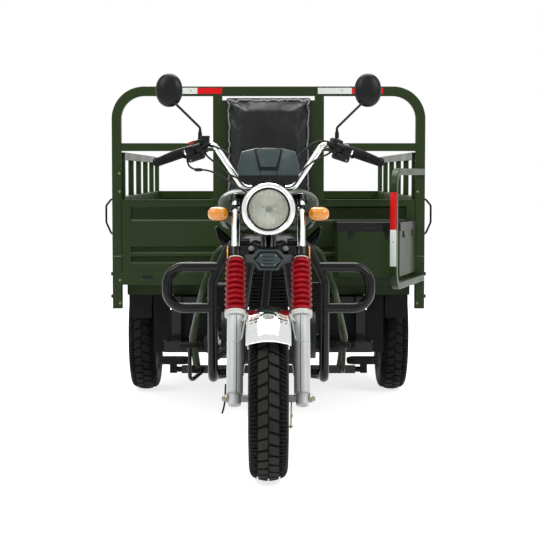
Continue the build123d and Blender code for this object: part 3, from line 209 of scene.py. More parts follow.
def slab(name, low, high, bevel=0.0, segments=3):
    """A box between two corners with rounded edges."""
    low, high = Vector(low), Vector(high)
    shape = bmesh.new()
    bmesh.ops.create_cube(shape, size=1.0)
    size = Vector([abs(b - a) for a, b in zip(low, high)])
    middle = (low + high) / 2
    for vert in shape.verts:
        vert.co = Vector([c * s for c, s in zip(vert.co, size)]) + middle
    if bevel:
        bmesh.ops.bevel(
            shape, geom=shape.edges, offset=bevel, segments=segments, profile=0.5, affect="EDGES",
            clamp_overlap=True
        )
    mesh = bpy.data.meshes.new(name)
    shape.to_mesh(mesh)
    shape.free()
    return smooth(add_object(name, mesh), 40)


def bar(name, points, radius, resolution=8, order=3, sides=4):
    """A round bar along a smooth line through a few control points."""
    curve = bpy.data.curves.new(name, "CURVE")
    curve.dimensions = "3D"
    curve.bevel_depth = radius
    curve.bevel_resolution = sides
    curve.use_fill_caps = True
    curve.resolution_u = resolution
    line = curve.splines.new("NURBS")
    line.points.add(len(points) - 1)
    for spot, place in zip(line.points, points):
        spot.co = (*place, 1.0)
    line.order_u = order
    line.use_endpoint_u = True
    return smooth(settle(add_object(name, curve)), 60)


def hoop(name, places, radius):
    """A round bar along a closed loop of places."""
    curve = bpy.data.curves.new(name, "CURVE")
    curve.dimensions = "3D"
    curve.bevel_depth = radius
    curve.bevel_resolution = 3
    line = curve.splines.new("POLY")
    line.points.add(len(places) - 1)
    for spot, place in zip(line.points, places):
        spot.co = (*place, 1.0)
    line.use_cyclic_u = True
    return settle(add_object(name, curve))


def rounded(made, width, past=None):
    """Rounds a piece's edges, past an angle in degrees where one is given."""
    rounding = made.modifiers.new("rounding", "BEVEL")
    rounding.width = width
    rounding.segments = 3
    rounding.limit_method = "ANGLE"
    if past:
        rounding.angle_limit = radians(past)
    return settle(made)


def oval(turn, power):
    """Cosine and sine of a turn, raised to a power with their signs kept."""
    return [abs(share) ** power * (1 if share >= 0 else -1) for share in (cos(turn), sin(turn))]


def plate(name, outline, thickness, origin, across, upward, bevel=0.0, angle=35.0):
    """A flat plate cut to an outline, thickened away from its front."""
    across, upward = Vector(across).normalized(), Vector(upward).normalized()
    depth = across.cross(upward).normalized() * thickness
    origin = Vector(origin)
    front = [origin + across * x + upward * y for x, y in outline]
    count = len(front)
    points = front + [p - depth for p in front]
    faces = [tuple(range(count)), tuple(range(2 * count - 1, count - 1, -1))]
    for step in range(count):
        right = (step + 1) % count
        faces.append((step, right, count + right, count + step))
    made = mesh_from(name, points, faces)
    return smooth(rounded(made, bevel) if bevel else made, angle)


# ---------------------------------------------------------------- geometry nodes
def add_node(tree, kind, inputs=(), **settings):
    """The outputs of a new node, with its settings and with its inputs set or linked."""
    made = tree.nodes.new(kind)
    for name, value in settings.items():
        setattr(made, name, value)
    for socket, value in dict(inputs).items():
        if isinstance(value, bpy.types.NodeSocket):
            tree.links.new(value, made.inputs[socket])
        else:
            made.inputs[socket].default_value = value
    return made.outputs


def tree_with(name, sockets):
    """A Geometry Nodes tree and its named inputs: a geometry, the sockets given and a finish."""
    tree = bpy.data.node_groups.new(name, "GeometryNodeTree")
    for label, kind, value in (("Geometry", "Geometry", None), *sockets, ("Finish", "Material", None)):
        made = tree.interface.new_socket(label, in_out="INPUT", socket_type="NodeSocket" + kind)
        if value is not None:
            made.default_value = value
    tree.interface.new_socket("Geometry", in_out="OUTPUT", socket_type="NodeSocketGeometry")
    return tree, tree.nodes.new("NodeGroupInput").outputs


def place_copies(tree, given, **inputs):
    """Ends a tree: copies of a piece on points, made real and given their finish."""
    copies = add_node(tree, "GeometryNodeInstanceOnPoints", inputs)
    solid = add_node(tree, "GeometryNodeRealizeInstances", {0: copies[0]})
    painted = add_node(tree, "GeometryNodeSetMaterial", {"Geometry": solid[0], "Material": given["Finish"]})
    tree.links.new(painted[0], tree.nodes.new("NodeGroupOutput").inputs[0])
    return tree


def ring_tree():
    """Repeats the incoming piece round the X axis through the origin."""
    tree, given = tree_with("ring repeat", (("Count", "Int", 12), ("Phase", "Float", 0.0)))
    points = add_node(tree, "GeometryNodePoints", {"Count": given["Count"]})
    index = add_node(tree, "GeometryNodeInputIndex")
    share = add_node(tree, "ShaderNodeMath", {0: index[0], 1: given["Count"]}, operation="DIVIDE")
    turn = add_node(tree, "ShaderNodeMath", {0: share[0], 1: 2 * pi, 2: given["Phase"]},
                    operation="MULTIPLY_ADD")
    angles = add_node(tree, "ShaderNodeCombineXYZ", {"X": turn[0]})
    return place_copies(tree, given, Points=points[0], Instance=given["Geometry"], Rotation=angles[0])


def row_tree():
    """Repeats the incoming piece along a straight step."""
    tree, given = tree_with("row repeat", (("Count", "Int", 5), ("Step", "Vector", None)))
    row = add_node(tree, "GeometryNodeMeshLine", {"Count": given["Count"], "Offset": given["Step"]},
                   mode="OFFSET")
    return place_copies(tree, given, Points=row[0], Instance=given["Geometry"])


def bolt_tree():
    """Stands a bolt head and its washer on each incoming point, turned to the point's own aim."""
    tree, given = tree_with("bolts on points", (("Radius", "Float", 0.006), ("Height", "Float", 0.004)))

    def share_of(size, share):
        return add_node(tree, "ShaderNodeMath", {0: given[size], 1: share}, operation="MULTIPLY")[0]

    head = add_node(tree, "GeometryNodeMeshCone", {
        "Vertices": 6, "Radius Bottom": given["Radius"], "Radius Top": share_of("Radius", 0.88),
        "Depth": given["Height"],
    })
    washer = add_node(tree, "GeometryNodeMeshCylinder", {
        "Vertices": 16, "Radius": share_of("Radius", 1.35), "Depth": share_of("Height", 0.3),
    })
    both = add_node(tree, "GeometryNodeJoinGeometry", {0: head[0]})[0]
    tree.links.new(washer[0], both.node.inputs[0])
    aim = add_node(tree, "GeometryNodeInputNamedAttribute", {"Name": "aim"}, data_type="FLOAT_VECTOR")
    turn = add_node(tree, "FunctionNodeAlignRotationToVector", {"Vector": aim[0]}, axis="Z")
    return place_copies(tree, given, Points=given["Geometry"], Instance=both, Rotation=turn[0])


TREES = {}


def run_tree(made, kind, **values):
    """Runs a tree on a piece with the named inputs, and leaves a plain mesh."""
    makers = {"ring": ring_tree, "row": row_tree, "bolts": bolt_tree}
    if kind not in TREES:
        TREES[kind] = makers[kind]()
    tree = TREES[kind]
    step = made.modifiers.new(kind, "NODES")
    step.node_group = tree
    names = {s.name: s.identifier for s in tree.interface.items_tree if s.in_out == "INPUT"}
    for label, value in values.items():
        step[names[label.capitalize()]] = value
    return settle(made)


def bolts(name, places, finish, body, radius=0.006, height=0.004):
    """Bolt heads at (place, direction) pairs, riding on a body."""
    mesh = bpy.data.meshes.new(name)
    mesh.from_pydata([tuple(place) for place, _ in places], [], [])
    aims = mesh.attributes.new("aim", "FLOAT_VECTOR", "POINT")
    for spot, (_, direction) in zip(aims.data, places):
        spot.vector = direction
    made = run_tree(add_object(name, mesh), "bolts", radius=radius, height=height, finish=coat(finish))
    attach(smooth(made, 30), body)


# ---------------------------------------------------------------- finishes
class Finish:
    """One procedural finish, layered on the piece's own coordinates."""

    def __init__(self, name, colour, roughness=0.5, metallic=0.0, fixed=()):
        self.material = bpy.data.materials.new(name)
        self.material.use_nodes = True
        self.tree = self.material.node_tree
        self.shader = self.tree.nodes["Principled BSDF"].inputs
        self.place = self.add("ShaderNodeTexCoord")["Object"]
        self.base = (*sRGB(*colour), 1.0)
        self.painted = self.base
        self.normal = None
        own = {"Base Color": self.base, "Roughness": roughness, "Metallic": metallic, **dict(fixed)}
        for socket, value in own.items():
            self.shader[socket].default_value = value
        self.material.diffuse_color = self.base

    def add(self, kind, inputs=(), **settings):
        """The outputs of a new node with its inputs and settings."""
        return add_node(self.tree, kind, inputs, **settings)

    def noise(self, scale, detail=3.0, stretch=(1, 1, 1), shift=0.0):
        """Soft noise on the piece, with so many features to the metre."""
        mapping = self.add("ShaderNodeMapping", {
            "Vector": self.place, "Scale": stretch, "Location": (shift, shift, shift),
        })
        return self.add("ShaderNodeTexNoise", {"Vector": mapping[0], "Scale": scale, "Detail": detail})["Fac"]

    def cells(self, scale, feature="F1"):
        """A cell pattern, with so many cells to the metre."""
        inputs = {"Vector": self.place, "Scale": scale}
        return self.add("ShaderNodeTexVoronoi", inputs, feature=feature)["Distance"]

    def range(self, source, low, high, to_low=0.0, to_high=1.0):
        """Spreads a stretch of values over another, and holds the ends."""
        inputs = {"Value": source, "From Min": low, "From Max": high, "To Min": to_low, "To Max": to_high}
        return self.add("ShaderNodeMapRange", inputs, interpolation_type="SMOOTHSTEP")["Result"]

    def facing(self, low=0.6, high=1.0):
        """How far the surface faces up."""
        shape = self.add("ShaderNodeNewGeometry")
        return self.range(self.add("ShaderNodeSeparateXYZ", {0: shape["Normal"]})["Z"], low, high)

    def times(self, first, second):
        """The product of two masks."""
        return self.add("ShaderNodeMath", {0: first, 1: second}, operation="MULTIPLY")[0]

    def tint(self, mask, colour, most=1.0):
        """Mixes another colour in where the mask is."""
        mask = self.times(mask, most) if most != 1.0 else mask
        inputs = {0: mask, 6: self.painted, 7: (*sRGB(*colour), 1.0)}
        self.painted = self.add("ShaderNodeMix", inputs, data_type="RGBA")[2]
        self.tree.links.new(self.painted, self.shader["Base Color"])

    def polish(self, mask, low, high):
        """Roughness that follows a mask."""
        self.tree.links.new(self.range(mask, 0.2, 0.8, low, high), self.shader["Roughness"])

    def lean(self, normal):
        """Sets the shading normal."""
        self.normal = normal
        self.tree.links.new(normal, self.shader["Normal"])

    def bump(self, source, depth, strength=1.0):
        """Relief of a depth in metres, on top of what is there."""
        inputs = {"Distance": depth, "Strength": strength, "Height": source}
        if self.normal is not None:
            inputs["Normal"] = self.normal
        self.lean(self.add("ShaderNodeBump", inputs)["Normal"])

    def soften(self, radius):
        """Rounds hard edges in the shading."""
        self.lean(self.add("ShaderNodeBevel", {"Radius": radius}, samples=4)["Normal"])

    def edges(self, radius):
        """A mask of the piece's hard edges."""
        inputs = {
            0: self.add("ShaderNodeBevel", {"Radius": radius}, samples=4)["Normal"],
            1: self.add("ShaderNodeNewGeometry")["True Normal"],
        }
        return self.range(self.add("ShaderNodeVectorMath", inputs, operation="DOT_PRODUCT")["Value"], 0.995,
                          0.80)


def body_paint(name, colour, roughness, coat):
    """Sprayed gloss paint: slight mottle, orange peel, lighter edges and a little road dust."""
    fixed = {"Coat Weight": coat, "Coat Roughness": 0.12, "Specular IOR Level": 0.16}
    made = Finish(name, colour, roughness, fixed=fixed)
    lighter = [min(1.0, c * 1.22 + 0.01) for c in colour]
    darker = [c * 0.82 for c in colour]
    made.soften(0.0022)
    made.tint(made.range(made.noise(1.6, 4), 0.35, 0.7), darker, 0.5)
    made.tint(made.edges(0.003), [min(1.0, c * 1.75 + 0.03) for c in colour], 0.55)
    dust = made.times(made.range(made.noise(7, 6, shift=3), 0.42, 0.75), made.facing(0.5, 0.95))
    made.tint(dust, (0.42, 0.42, 0.32), 0.10)
    made.tint(made.range(made.noise(260, 2), 0.55, 0.8), lighter, 0.10)
    made.polish(made.noise(5, 4, shift=1), roughness * 0.75, roughness * 1.3)
    made.bump(made.noise(420, 1), 0.00012, 0.5)
    return made.material


def frame_enamel(name, colour=(0.009, 0.011, 0.010), roughness=0.22):
    """Black enamel on tube, greyer on worn edges and dusty on top."""
    fixed = {"Coat Weight": 0.25, "Coat Roughness": 0.08, "Specular IOR Level": 0.12}
    made = Finish(name, colour, roughness, fixed=fixed)
    made.soften(0.0018)
    made.tint(made.edges(0.002), (0.16, 0.16, 0.155), 0.2)
    made.tint(made.times(made.range(made.noise(9, 5), 0.45, 0.8), made.facing(0.4, 0.95)), (0.30, 0.28, 0.24),
              0.06)
    made.polish(made.noise(6, 4), roughness * 0.7, roughness * 1.5)
    made.bump(made.noise(350, 2), 0.0001, 0.5)
    return made.material


def moulded(name, colour, roughness=0.5, grain=900.0, depth=0.00008):
    """Moulded plastic with a fine leather grain and faint scuffs."""
    made = Finish(name, colour, roughness, fixed={"Specular IOR Level": 0.2})
    made.soften(0.0012)
    made.tint(made.range(made.noise(14, 5), 0.4, 0.8), [c * 1.35 + 0.02 for c in colour], 0.35)
    made.tint(made.edges(0.0015), [min(1.0, c * 1.6 + 0.05) for c in colour], 0.3)
    made.polish(made.noise(24, 5, stretch=(1, 4, 1)), roughness * 0.8, roughness * 1.25)
    made.bump(made.cells(grain), depth, 0.6)
    return made.material


def rubber(name, colour, roughness, grain=700.0):
    """Matt rubber with a dusty bloom."""
    made = Finish(name, colour, roughness, fixed={"Specular IOR Level": 0.16})
    made.tint(made.range(made.noise(30, 5), 0.4, 0.85), [c * 1.5 + 0.015 for c in colour], 0.5)
    made.polish(made.noise(18, 4), roughness * 0.85, min(1.0, roughness * 1.15))
    made.bump(made.noise(grain, 3), 0.00015, 0.5)
    return made.material


def bright_metal(name, colour, roughness, streak=0.0):
    """Plated or polished metal with fine smears."""
    made = Finish(name, colour, roughness, metallic=1.0)
    made.soften(0.0012)
    made.tint(made.range(made.noise(11, 5), 0.45, 0.85), [c * 0.78 for c in colour], 0.35)
    made.polish(made.noise(32, 5, stretch=(1, 1, 0.2)), roughness * 0.6, roughness * 1.8)
    if streak:
        made.bump(made.noise(240, 3, stretch=(1, 1, 0.03)), streak, 0.4)
    return made.material


def lens_plastic(name, colour, roughness=0.12, pitch=170.0):
    """Coloured lens plastic with moulded prisms behind a smooth face."""
    made = Finish(name, colour, roughness, fixed={
        "Coat Weight": 1.0, "Coat Roughness": 0.03, "Subsurface Weight": 0.15,
        "Subsurface Radius": (0.02, 0.008, 0.002), "Subsurface Scale": 0.3,
    })
    prisms = made.range(made.cells(pitch), 0.15, 0.75)
    made.tint(prisms, [c * 0.84 for c in colour], 0.5)
    made.tint(made.range(made.noise(60, 3), 0.55, 0.75), [min(1.0, c * 1.15 + 0.05) for c in colour], 0.3)
    made.bump(prisms, 0.0004, 0.25)
    return made.material


def vinyl(name):
    """Stretched black vinyl: leather grain, soft creases, patchy gloss and a painted sheen in lighter
    grey-green patches at random.
    """
    made = Finish(name, (0.022, 0.032, 0.030), 0.42, fixed={"Specular IOR Level": 0.3, "Sheen Weight": 0.05})
    # Painted sheen: lighter grey-green patches at random stand in for the light on the creases.
    made.tint(made.range(made.noise(9, 5), 0.45, 0.8), (0.045, 0.060, 0.056), 0.7)
    made.polish(made.noise(7, 4), 0.3, 0.55)
    made.bump(made.noise(13, 4, stretch=(1.6, 1, 0.7)), 0.006, 0.35)
    made.bump(made.cells(520), 0.00025, 0.55)
    return made.material


def tyre_rubber(name, node, worn):
    """Tread rubber: black in the grooves and flanks, greyer where the blocks meet the road."""
    made = Finish(name, (0.024, 0.026, 0.023), 0.72, fixed={"Specular IOR Level": 0.14})
    low, high = span(node)
    centre = (low + high) / 2
    hub = made.add("ShaderNodeMapping", {"Vector": made.place, "Location": (0, -centre.y, -centre.z)})
    flat = made.add("ShaderNodeVectorMath", {0: hub[0], 1: (0, 1, 1)}, operation="MULTIPLY")
    reach = made.add("ShaderNodeVectorMath", {0: flat[0]}, operation="LENGTH")["Value"]
    radius = (high.z - low.z) / 2
    made.tint(made.range(reach, radius - 0.011, radius - 0.004), (worn, worn * 1.06, worn * 0.96), 0.9)
    made.tint(made.range(made.noise(40, 5), 0.4, 0.8), (0.07, 0.072, 0.066), 0.3)
    made.tint(made.edges(0.0015), (0.17, 0.165, 0.155), 0.2)
    made.polish(made.noise(12, 4), 0.6, 0.85)
    made.bump(made.noise(900, 3), 0.0002, 0.6)
    return made.material


def tape(name, colour):
    """Retro-reflective tape with its small hexagon cells."""
    made = Finish(name, colour, 0.35,
                  fixed={"Coat Weight": 0.15, "Coat Roughness": 0.2, "Specular IOR Level": 0.2})
    made.tint(made.range(made.cells(420, "DISTANCE_TO_EDGE"), 0.12, 0.02), [c * 0.82 for c in colour], 0.5)
    made.tint(made.range(made.noise(20, 5), 0.5, 0.8), [c * 0.9 for c in colour], 0.5)
    made.bump(made.cells(420), 0.00006, 0.5)
    return made.material


def cast_alloy(name, colour, roughness):
    """Sand-cast alloy under matt paint."""
    made = Finish(name, colour, roughness, metallic=0.25)
    made.soften(0.0015)
    made.tint(made.edges(0.002), [min(1.0, c * 2.2 + 0.06) for c in colour], 0.4)
    made.tint(made.range(made.noise(22, 6), 0.4, 0.8), [c * 1.5 + 0.02 for c in colour], 0.4)
    made.polish(made.noise(12, 4), roughness * 0.8, roughness * 1.2)
    made.bump(made.noise(520, 4), 0.0003, 0.6)
    return made.material


def deck_steel(name, colour):
    """The bed's floor: body paint scuffed through along the direction of loading."""
    made = Finish(name, colour, 0.45,
                  fixed={"Coat Weight": 0.05, "Coat Roughness": 0.3, "Specular IOR Level": 0.16})
    made.soften(0.002)
    scuffs = made.range(made.noise(16, 6, stretch=(1, 0.12, 1)), 0.56, 0.74)
    made.tint(made.times(scuffs, made.facing(0.5, 0.9)), (0.26, 0.28, 0.22), 0.3)
    made.tint(made.range(made.noise(2.2, 4), 0.4, 0.7), [c * 0.8 for c in colour], 0.5)
    made.polish(made.noise(8, 4), 0.35, 0.6)
    made.bump(made.noise(380, 2), 0.00015, 0.4)
    return made.material


def glass(name):
    """Clear lamp glass."""
    made = Finish(name, (0.97, 0.98, 0.96), 0.04, fixed={"Transmission Weight": 1.0, "IOR": 1.45})
    made.polish(made.noise(40, 3), 0.02, 0.07)
    return made.material


PAINTS = {}


def shadow_paint(name, colour):
    """Body paint darkened as painted shade, for the depth of a pressed channel."""
    return body_paint(name, [c * 0.72 for c in colour], 0.6, 0.0)


FINISHES = {
    "body_green": (body_paint, "body", 0.34, 0.08),
    "tank_green": (body_paint, "tank", 0.26, 0.22),
    "deck_green": (deck_steel, "body"),
    "frame_black": (frame_enamel,),
    "lid_black": (frame_enamel, (0.03, 0.032, 0.034), 0.38),
    "engine_black": (cast_alloy, (0.022, 0.024, 0.024), 0.55),
    "case_grey": (cast_alloy, (0.09, 0.095, 0.09), 0.48),
    "exhaust_steel": (frame_enamel, (0.035, 0.036, 0.034), 0.45),
    "panel_black": (moulded, (0.028, 0.03, 0.03), 0.24),
    "seat_vinyl": (vinyl,),
    "piping": (rubber, (0.50, 0.52, 0.51), 0.5),
    "tyre": (tyre_rubber, "front_tyre", 0.19),
    # The rear tyres' tread is less grey than the front's: painted shade for the shadow under the bed.
    "rear_tyre": (tyre_rubber, "rear_tyre_left", 0.10),
    "rim_paint": (frame_enamel, (0.03, 0.03, 0.03), 0.35),
    "silver_paint": (body_paint, "fork", 0.3, 0.4),
    "chrome": (bright_metal, (0.88, 0.89, 0.88), 0.06),
    "bellows_red": (rubber, "bellows", 0.34, 500),
    "collar_cream": (moulded, (0.80, 0.79, 0.72), 0.42),
    "stay_white": (moulded, (0.80, 0.81, 0.79), 0.35),
    "grip_rubber": (rubber, (0.022, 0.022, 0.023), 0.6),
    "control_black": (moulded, (0.02, 0.021, 0.022), 0.4),
    "lens_clear": (glass,),
    "amber": (lens_plastic, "amber"),
    "cowl_grey": (moulded, "cowl", 0.36),
    "red_lens": (lens_plastic, (0.55, 0.02, 0.02)),
    "plate_white": (tape, (0.82, 0.83, 0.82)),
    "axle_zinc": (bright_metal, (0.66, 0.56, 0.33), 0.3),
    "bolt_steel": (bright_metal, (0.48, 0.49, 0.48), 0.32),
    "cable_black": (rubber, (0.02, 0.02, 0.02), 0.38),
    "flap_rubber": (rubber, (0.02, 0.02, 0.02), 0.6),
    "tape_white": (tape, (0.92, 0.94, 0.92)),
    "tape_red": (tape, "tape_red"),
    "lever_black": (frame_enamel, (0.05, 0.052, 0.054), 0.3),
    "mirror_black": (moulded, (0.05, 0.055, 0.057), 0.34),
    "shadow_green": (shadow_paint, "body"),
    "weld_green": (body_paint, (0.42, 0.46, 0.32), 0.4, 0.1),
    "lamp_white": (lens_plastic, (0.80, 0.82, 0.80)),
    "mirror_face": (bright_metal, (0.90, 0.91, 0.92), 0.03),
    "reflector": (bright_metal, (0.98, 0.98, 0.96), 0.3),
    "button_red": (moulded, (0.72, 0.26, 0.24), 0.4),
    "switch_white": (moulded, (0.72, 0.72, 0.70), 0.4),
    "dial_black": (moulded, (0.015, 0.015, 0.016), 0.3),
}


def coat(name):
    """The finish of that name, made once; a word in its row is a colour of the sidebar or a node."""
    if name not in PAINTS:
        maker, *row = FINISHES[name]
        colours = bpy.context.scene.tricycle_paint
        PAINTS[name] = maker(name, *[getattr(colours, each,
                                             each) if isinstance(each, str) else each for each in row])
    return PAINTS[name]


def wear(made, name, body=None):
    """Gives a piece its finish, and its body and slot where they are named."""
    made.data.materials.clear()
    made.data.materials.append(coat(name))
    if body:
        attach(made, body)
    return made


# ---------------------------------------------------------------- the fork's own axes
STEERING = next(joint for joint in frame["joints"] if joint["name"] == "steering")
FORK_UP = Vector(STEERING["axis"]).normalized()
ACROSS = Vector((1, 0, 0))
FORK_BACK = FORK_UP.cross(ACROSS).normalized()
LEG_OUT = (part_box("fork_tubes")[1][0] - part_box("fork_tubes")[0][0]) / 2 - 0.016


def on_fork(across, back, up):
    """A place in millimetres across, behind and along the fork, from the axle."""
    return AXLE + (ACROSS * across + FORK_BACK * back + FORK_UP * up) * MM


def beam(name, start, end, width, thickness, hint=(1, 0, 0), bevel=0.0015):
    """A flat bar between two places, with its width along the hint."""
    start, end = Vector(start), Vector(end)
    run = end - start
    made = slab(name, (-width / 2, -thickness / 2, 0), (width / 2, thickness / 2, run.length), bevel, 2)
    along = run.normalized()
    wide = Vector(hint) - along * Vector(hint).dot(along)
    wide.normalize()
    turn = Matrix((wide, along.cross(wide).normalized(), along)).transposed().to_4x4()
    made.data.transform(Matrix.Translation(start) @ turn)
    return made


# ---------------------------------------------------------------- tyres
def circle_through(first, second, third):
    """Centre and radius of the circle through three (across, radius) points."""
    (ax, ay), (bx, by), (cx, cy) = first, second, third
    d = 2 * (ax * (by - cy) + bx * (cy - ay) + cx * (ay - by))
    a, b, c = ax * ax + ay * ay, bx * bx + by * by, cx * cx + cy * cy
    x = (a * (by - cy) + b * (cy - ay) + c * (ay - by)) / d
    y = (a * (cx - bx) + b * (ax - cx) + c * (bx - ax)) / d
    return x, y, sqrt((ax - x) ** 2 + (ay - y) ** 2)


def crown_height(across):
    """The tyre's outside radius at a distance from its middle, in millimetres."""
    across = abs(across)
    outer = TYRE_RADIUS / MM
    if across <= 59.5:
        x, y, size = circle_through((-59.5, outer - 17), (0, outer), (59.5, outer - 17))
        return y + sqrt(max(0.0, size**2 - (across - x) ** 2))
    return outer - 17 - (across - 59.5) * 3.2


def lug(stations, drop):
    """One tread block: a run of sections across the tyre, each (across, low angle, high angle, fall)."""
    points, faces = [], []
    chamfer = 1.5
    for across, low, high, fall in stations:
        top = crown_height(across) - fall
        turn = chamfer / top
        for angle, radius in (
            (low, top - drop),
            (low, top - chamfer),
            (low + turn, top),
            (high - turn, top),
            (high, top - chamfer),
            (high, top - drop),
        ):
            points.append((across * MM, -radius * cos(angle) * MM, radius * sin(angle) * MM))
    for station in range(len(stations) - 1):
        for step in range(6):
            right = (step + 1) % 6
            a, b = station * 6, station * 6 + 6
            faces.append((a + step, a + right, b + right, b + step))
    faces.append(tuple(range(6)))
    faces.append(tuple((len(stations) - 1) * 6 + step for step in range(6)))
    return points, faces


def tread_unit(pitch):
    """The blocks of one pitch: two slanted middle blocks and cut shoulders."""
    points, faces = [], []

    def place(stations, drop):
        own_points, own_faces = lug(stations, drop)
        start = len(points)
        points.extend(own_points)
        faces.extend([tuple(start + i for i in face) for face in own_faces])

    slant = 0.30 * pitch / 30
    for side in (-1, 1):
        base = 0.0 if side > 0 else pitch / 2
        low = base - 0.40 * pitch
        high = base + 0.40 * pitch
        place(
            [
                (side * 2.0, low + 0.10 * pitch, high - 0.16 * pitch, 1.0),
                (side * 3.6, low + 0.04 * pitch, high - 0.05 * pitch, 0),
                (side * 18, low - 12 * slant, high - 12 * slant, 0),
                (side * 33, low - 27 * slant, high - 27 * slant, 0),
                (side * 35.5, low - 28 * slant + 0.03 * pitch, high - 28 * slant - 0.03 * pitch, 1.0),
            ],
            8.5,
        )
        for cut in range(3):
            middle = base + (cut - 1) * pitch / 3 - 34 * slant
            half = 0.115 * pitch
            reach = 41 if cut != 1 else 45
            place(
                [
                    (side * reach, middle - half * 0.8, middle + half * 0.8, 1.2),
                    (side * (reach + 3), middle - half, middle + half, 0.2),
                    (side * 54, middle - half - 9 * slant, middle + half - 9 * slant, 0.2),
                    (side * 60.5, middle - half - 12 * slant, middle + half - 12 * slant, 0.6),
                    (side * 63.5, middle - half - 14 * slant, middle + half - 14 * slant, 1.6),
                ],
                7.0,
            )
    return points, faces


def carcass(name):
    """The casing under the tread, with ribbed flanks and beads, about the X axis."""
    outer = TYRE_RADIUS / MM
    flank = circle_through((59.5, outer - 17), (68.5, 216), (46, 166))
    profile = []
    for step in range(13):
        across = -58 + 116 * step / 12
        profile.append((crown_height(across) - 8, across))
    ribs = []
    for step in range(1, 34):
        radius = outer - 21 - (outer - 21 - 170) * step / 33
        lift = 0.7 if step % 11 in (3, 4) else 0.0
        rib = sqrt(flank[2] ** 2 - (radius - flank[1]) ** 2) + flank[0]
        ribs.append((radius, min(rib, 68.4) - 0.8 + lift))
    profile += ribs
    inner = [(154, 45.7), (152.2, 44), (152.2, 36), (160, 34), (216, 55), (258, 46), (268, 0)]
    profile += inner
    profile += [(radius, -across) for radius, across in reversed(inner[:-1])]
    profile += [(radius, -across) for radius, across in reversed(ribs)]
    return lathe(name, [(r * MM, a * MM) for r, a in profile], (0, 0, 0), (1, 0, 0), 144)


def build_tyre(node, body, blocks):
    """A whole tyre on the wheel of that node."""
    low, high = span(node)
    # The rear tyres take the darker copy of the tyre finish, which is painted shade.
    finish_name = "tyre" if node == "front_tyre" else "rear_tyre"
    casing = carcass(node + "_casing")
    wear(casing, finish_name)
    pitch = 2 * pi / blocks
    points, faces = tread_unit(pitch)
    unit = mesh_from(node + "_blocks", points, faces)
    tread = run_tree(unit, "ring", count=blocks, phase=0.0, finish=coat(finish_name))
    smooth(tread, 25)
    made = smooth(join(node + "_detailed", casing, tread), 25)
    made.data.transform(Matrix.Translation((low + high) / 2))
    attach(made, body)
    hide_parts(node)


# ---------------------------------------------------------------- fork pieces
def build_bellows(side, word, folds):
    """A rubber boot with rounded folds, its bottom collar and its top washer."""
    low, high, foot, head = 322.6, 524.6, 39.0, 37.4
    profile = [(0.0168, low * MM)]
    fold = (high - low) / folds
    steps = 12
    for turn in range(folds):
        for step in range(steps):
            share = step / steps
            up = low + (turn + share) * fold
            crest = foot - (foot - head) * (up - low) / (high - low)
            if turn == folds - 1:
                crest -= 4.5 * share
            elif turn == 0:
                crest -= 1.5 * (1 - share)
            dip = 11.0 * (1 - sin(pi * share) ** 1.3)
            droop = 4.2 * sin(pi * share)
            profile.append(((crest - dip) * MM, (up - droop) * MM))
    profile.append(((head - 11) * MM, high * MM))
    profile.append((0.0168, high * MM))
    leg = on_fork(side * LEG_OUT / MM, 0, 0)
    boot = smooth(lathe(f"fork_boot_{word}", profile, leg, FORK_UP, 56), 60)
    wear(boot, "bellows_red", "steering")
    collar = [(29.6, 308), (34.0, 308), (36.4, 310), (38.2, 313), (38.8, 316), (38.4, 318.2), (29.6, 318.2)]
    wear(lathe(f"fork_collar_{word}", [(r * MM, a * MM) for r, a in collar], leg, FORK_UP), "collar_cream",
         "steering")
    washer = [(17, 524.8), (25.2, 524.8), (26.4, 525.8), (26.4, 529.4), (25.2, 530.6), (17, 530.6)]
    wear(lathe(f"fork_washer_{word}", [(r * MM, a * MM) for r, a in washer], leg, FORK_UP), "collar_cream",
         "steering")
    return boot


def guard_section(share, radius, half, depth):
    """A point of the mudguard's cross-section: (across, radius), from one edge to the other."""
    crown = radius - 12.5
    corner = 17.0
    flat = half - corner
    side_run = depth
    corner_run = corner * pi / 2 * 0.86
    total = 2 * (side_run + corner_run + flat)
    run = share * total
    flip = 1
    if run > total / 2:
        run = total - run
        flip = -1
    if run < side_run:
        point = (-half, crown - corner - side_run + run)
    elif run < side_run + corner_run:
        turn = (run - side_run) / corner_run * pi / 2
        point = (-half + corner - corner * cos(turn), crown - corner + corner * sin(turn))
    else:
        across = -flat + (run - side_run - corner_run)
        rise = 12.5 * (1 - (across / flat) ** 2)
        point = (across, crown + rise)
    return (point[0] if flip > 0 else -point[0]), point[1], min(share, 1 - share) * total


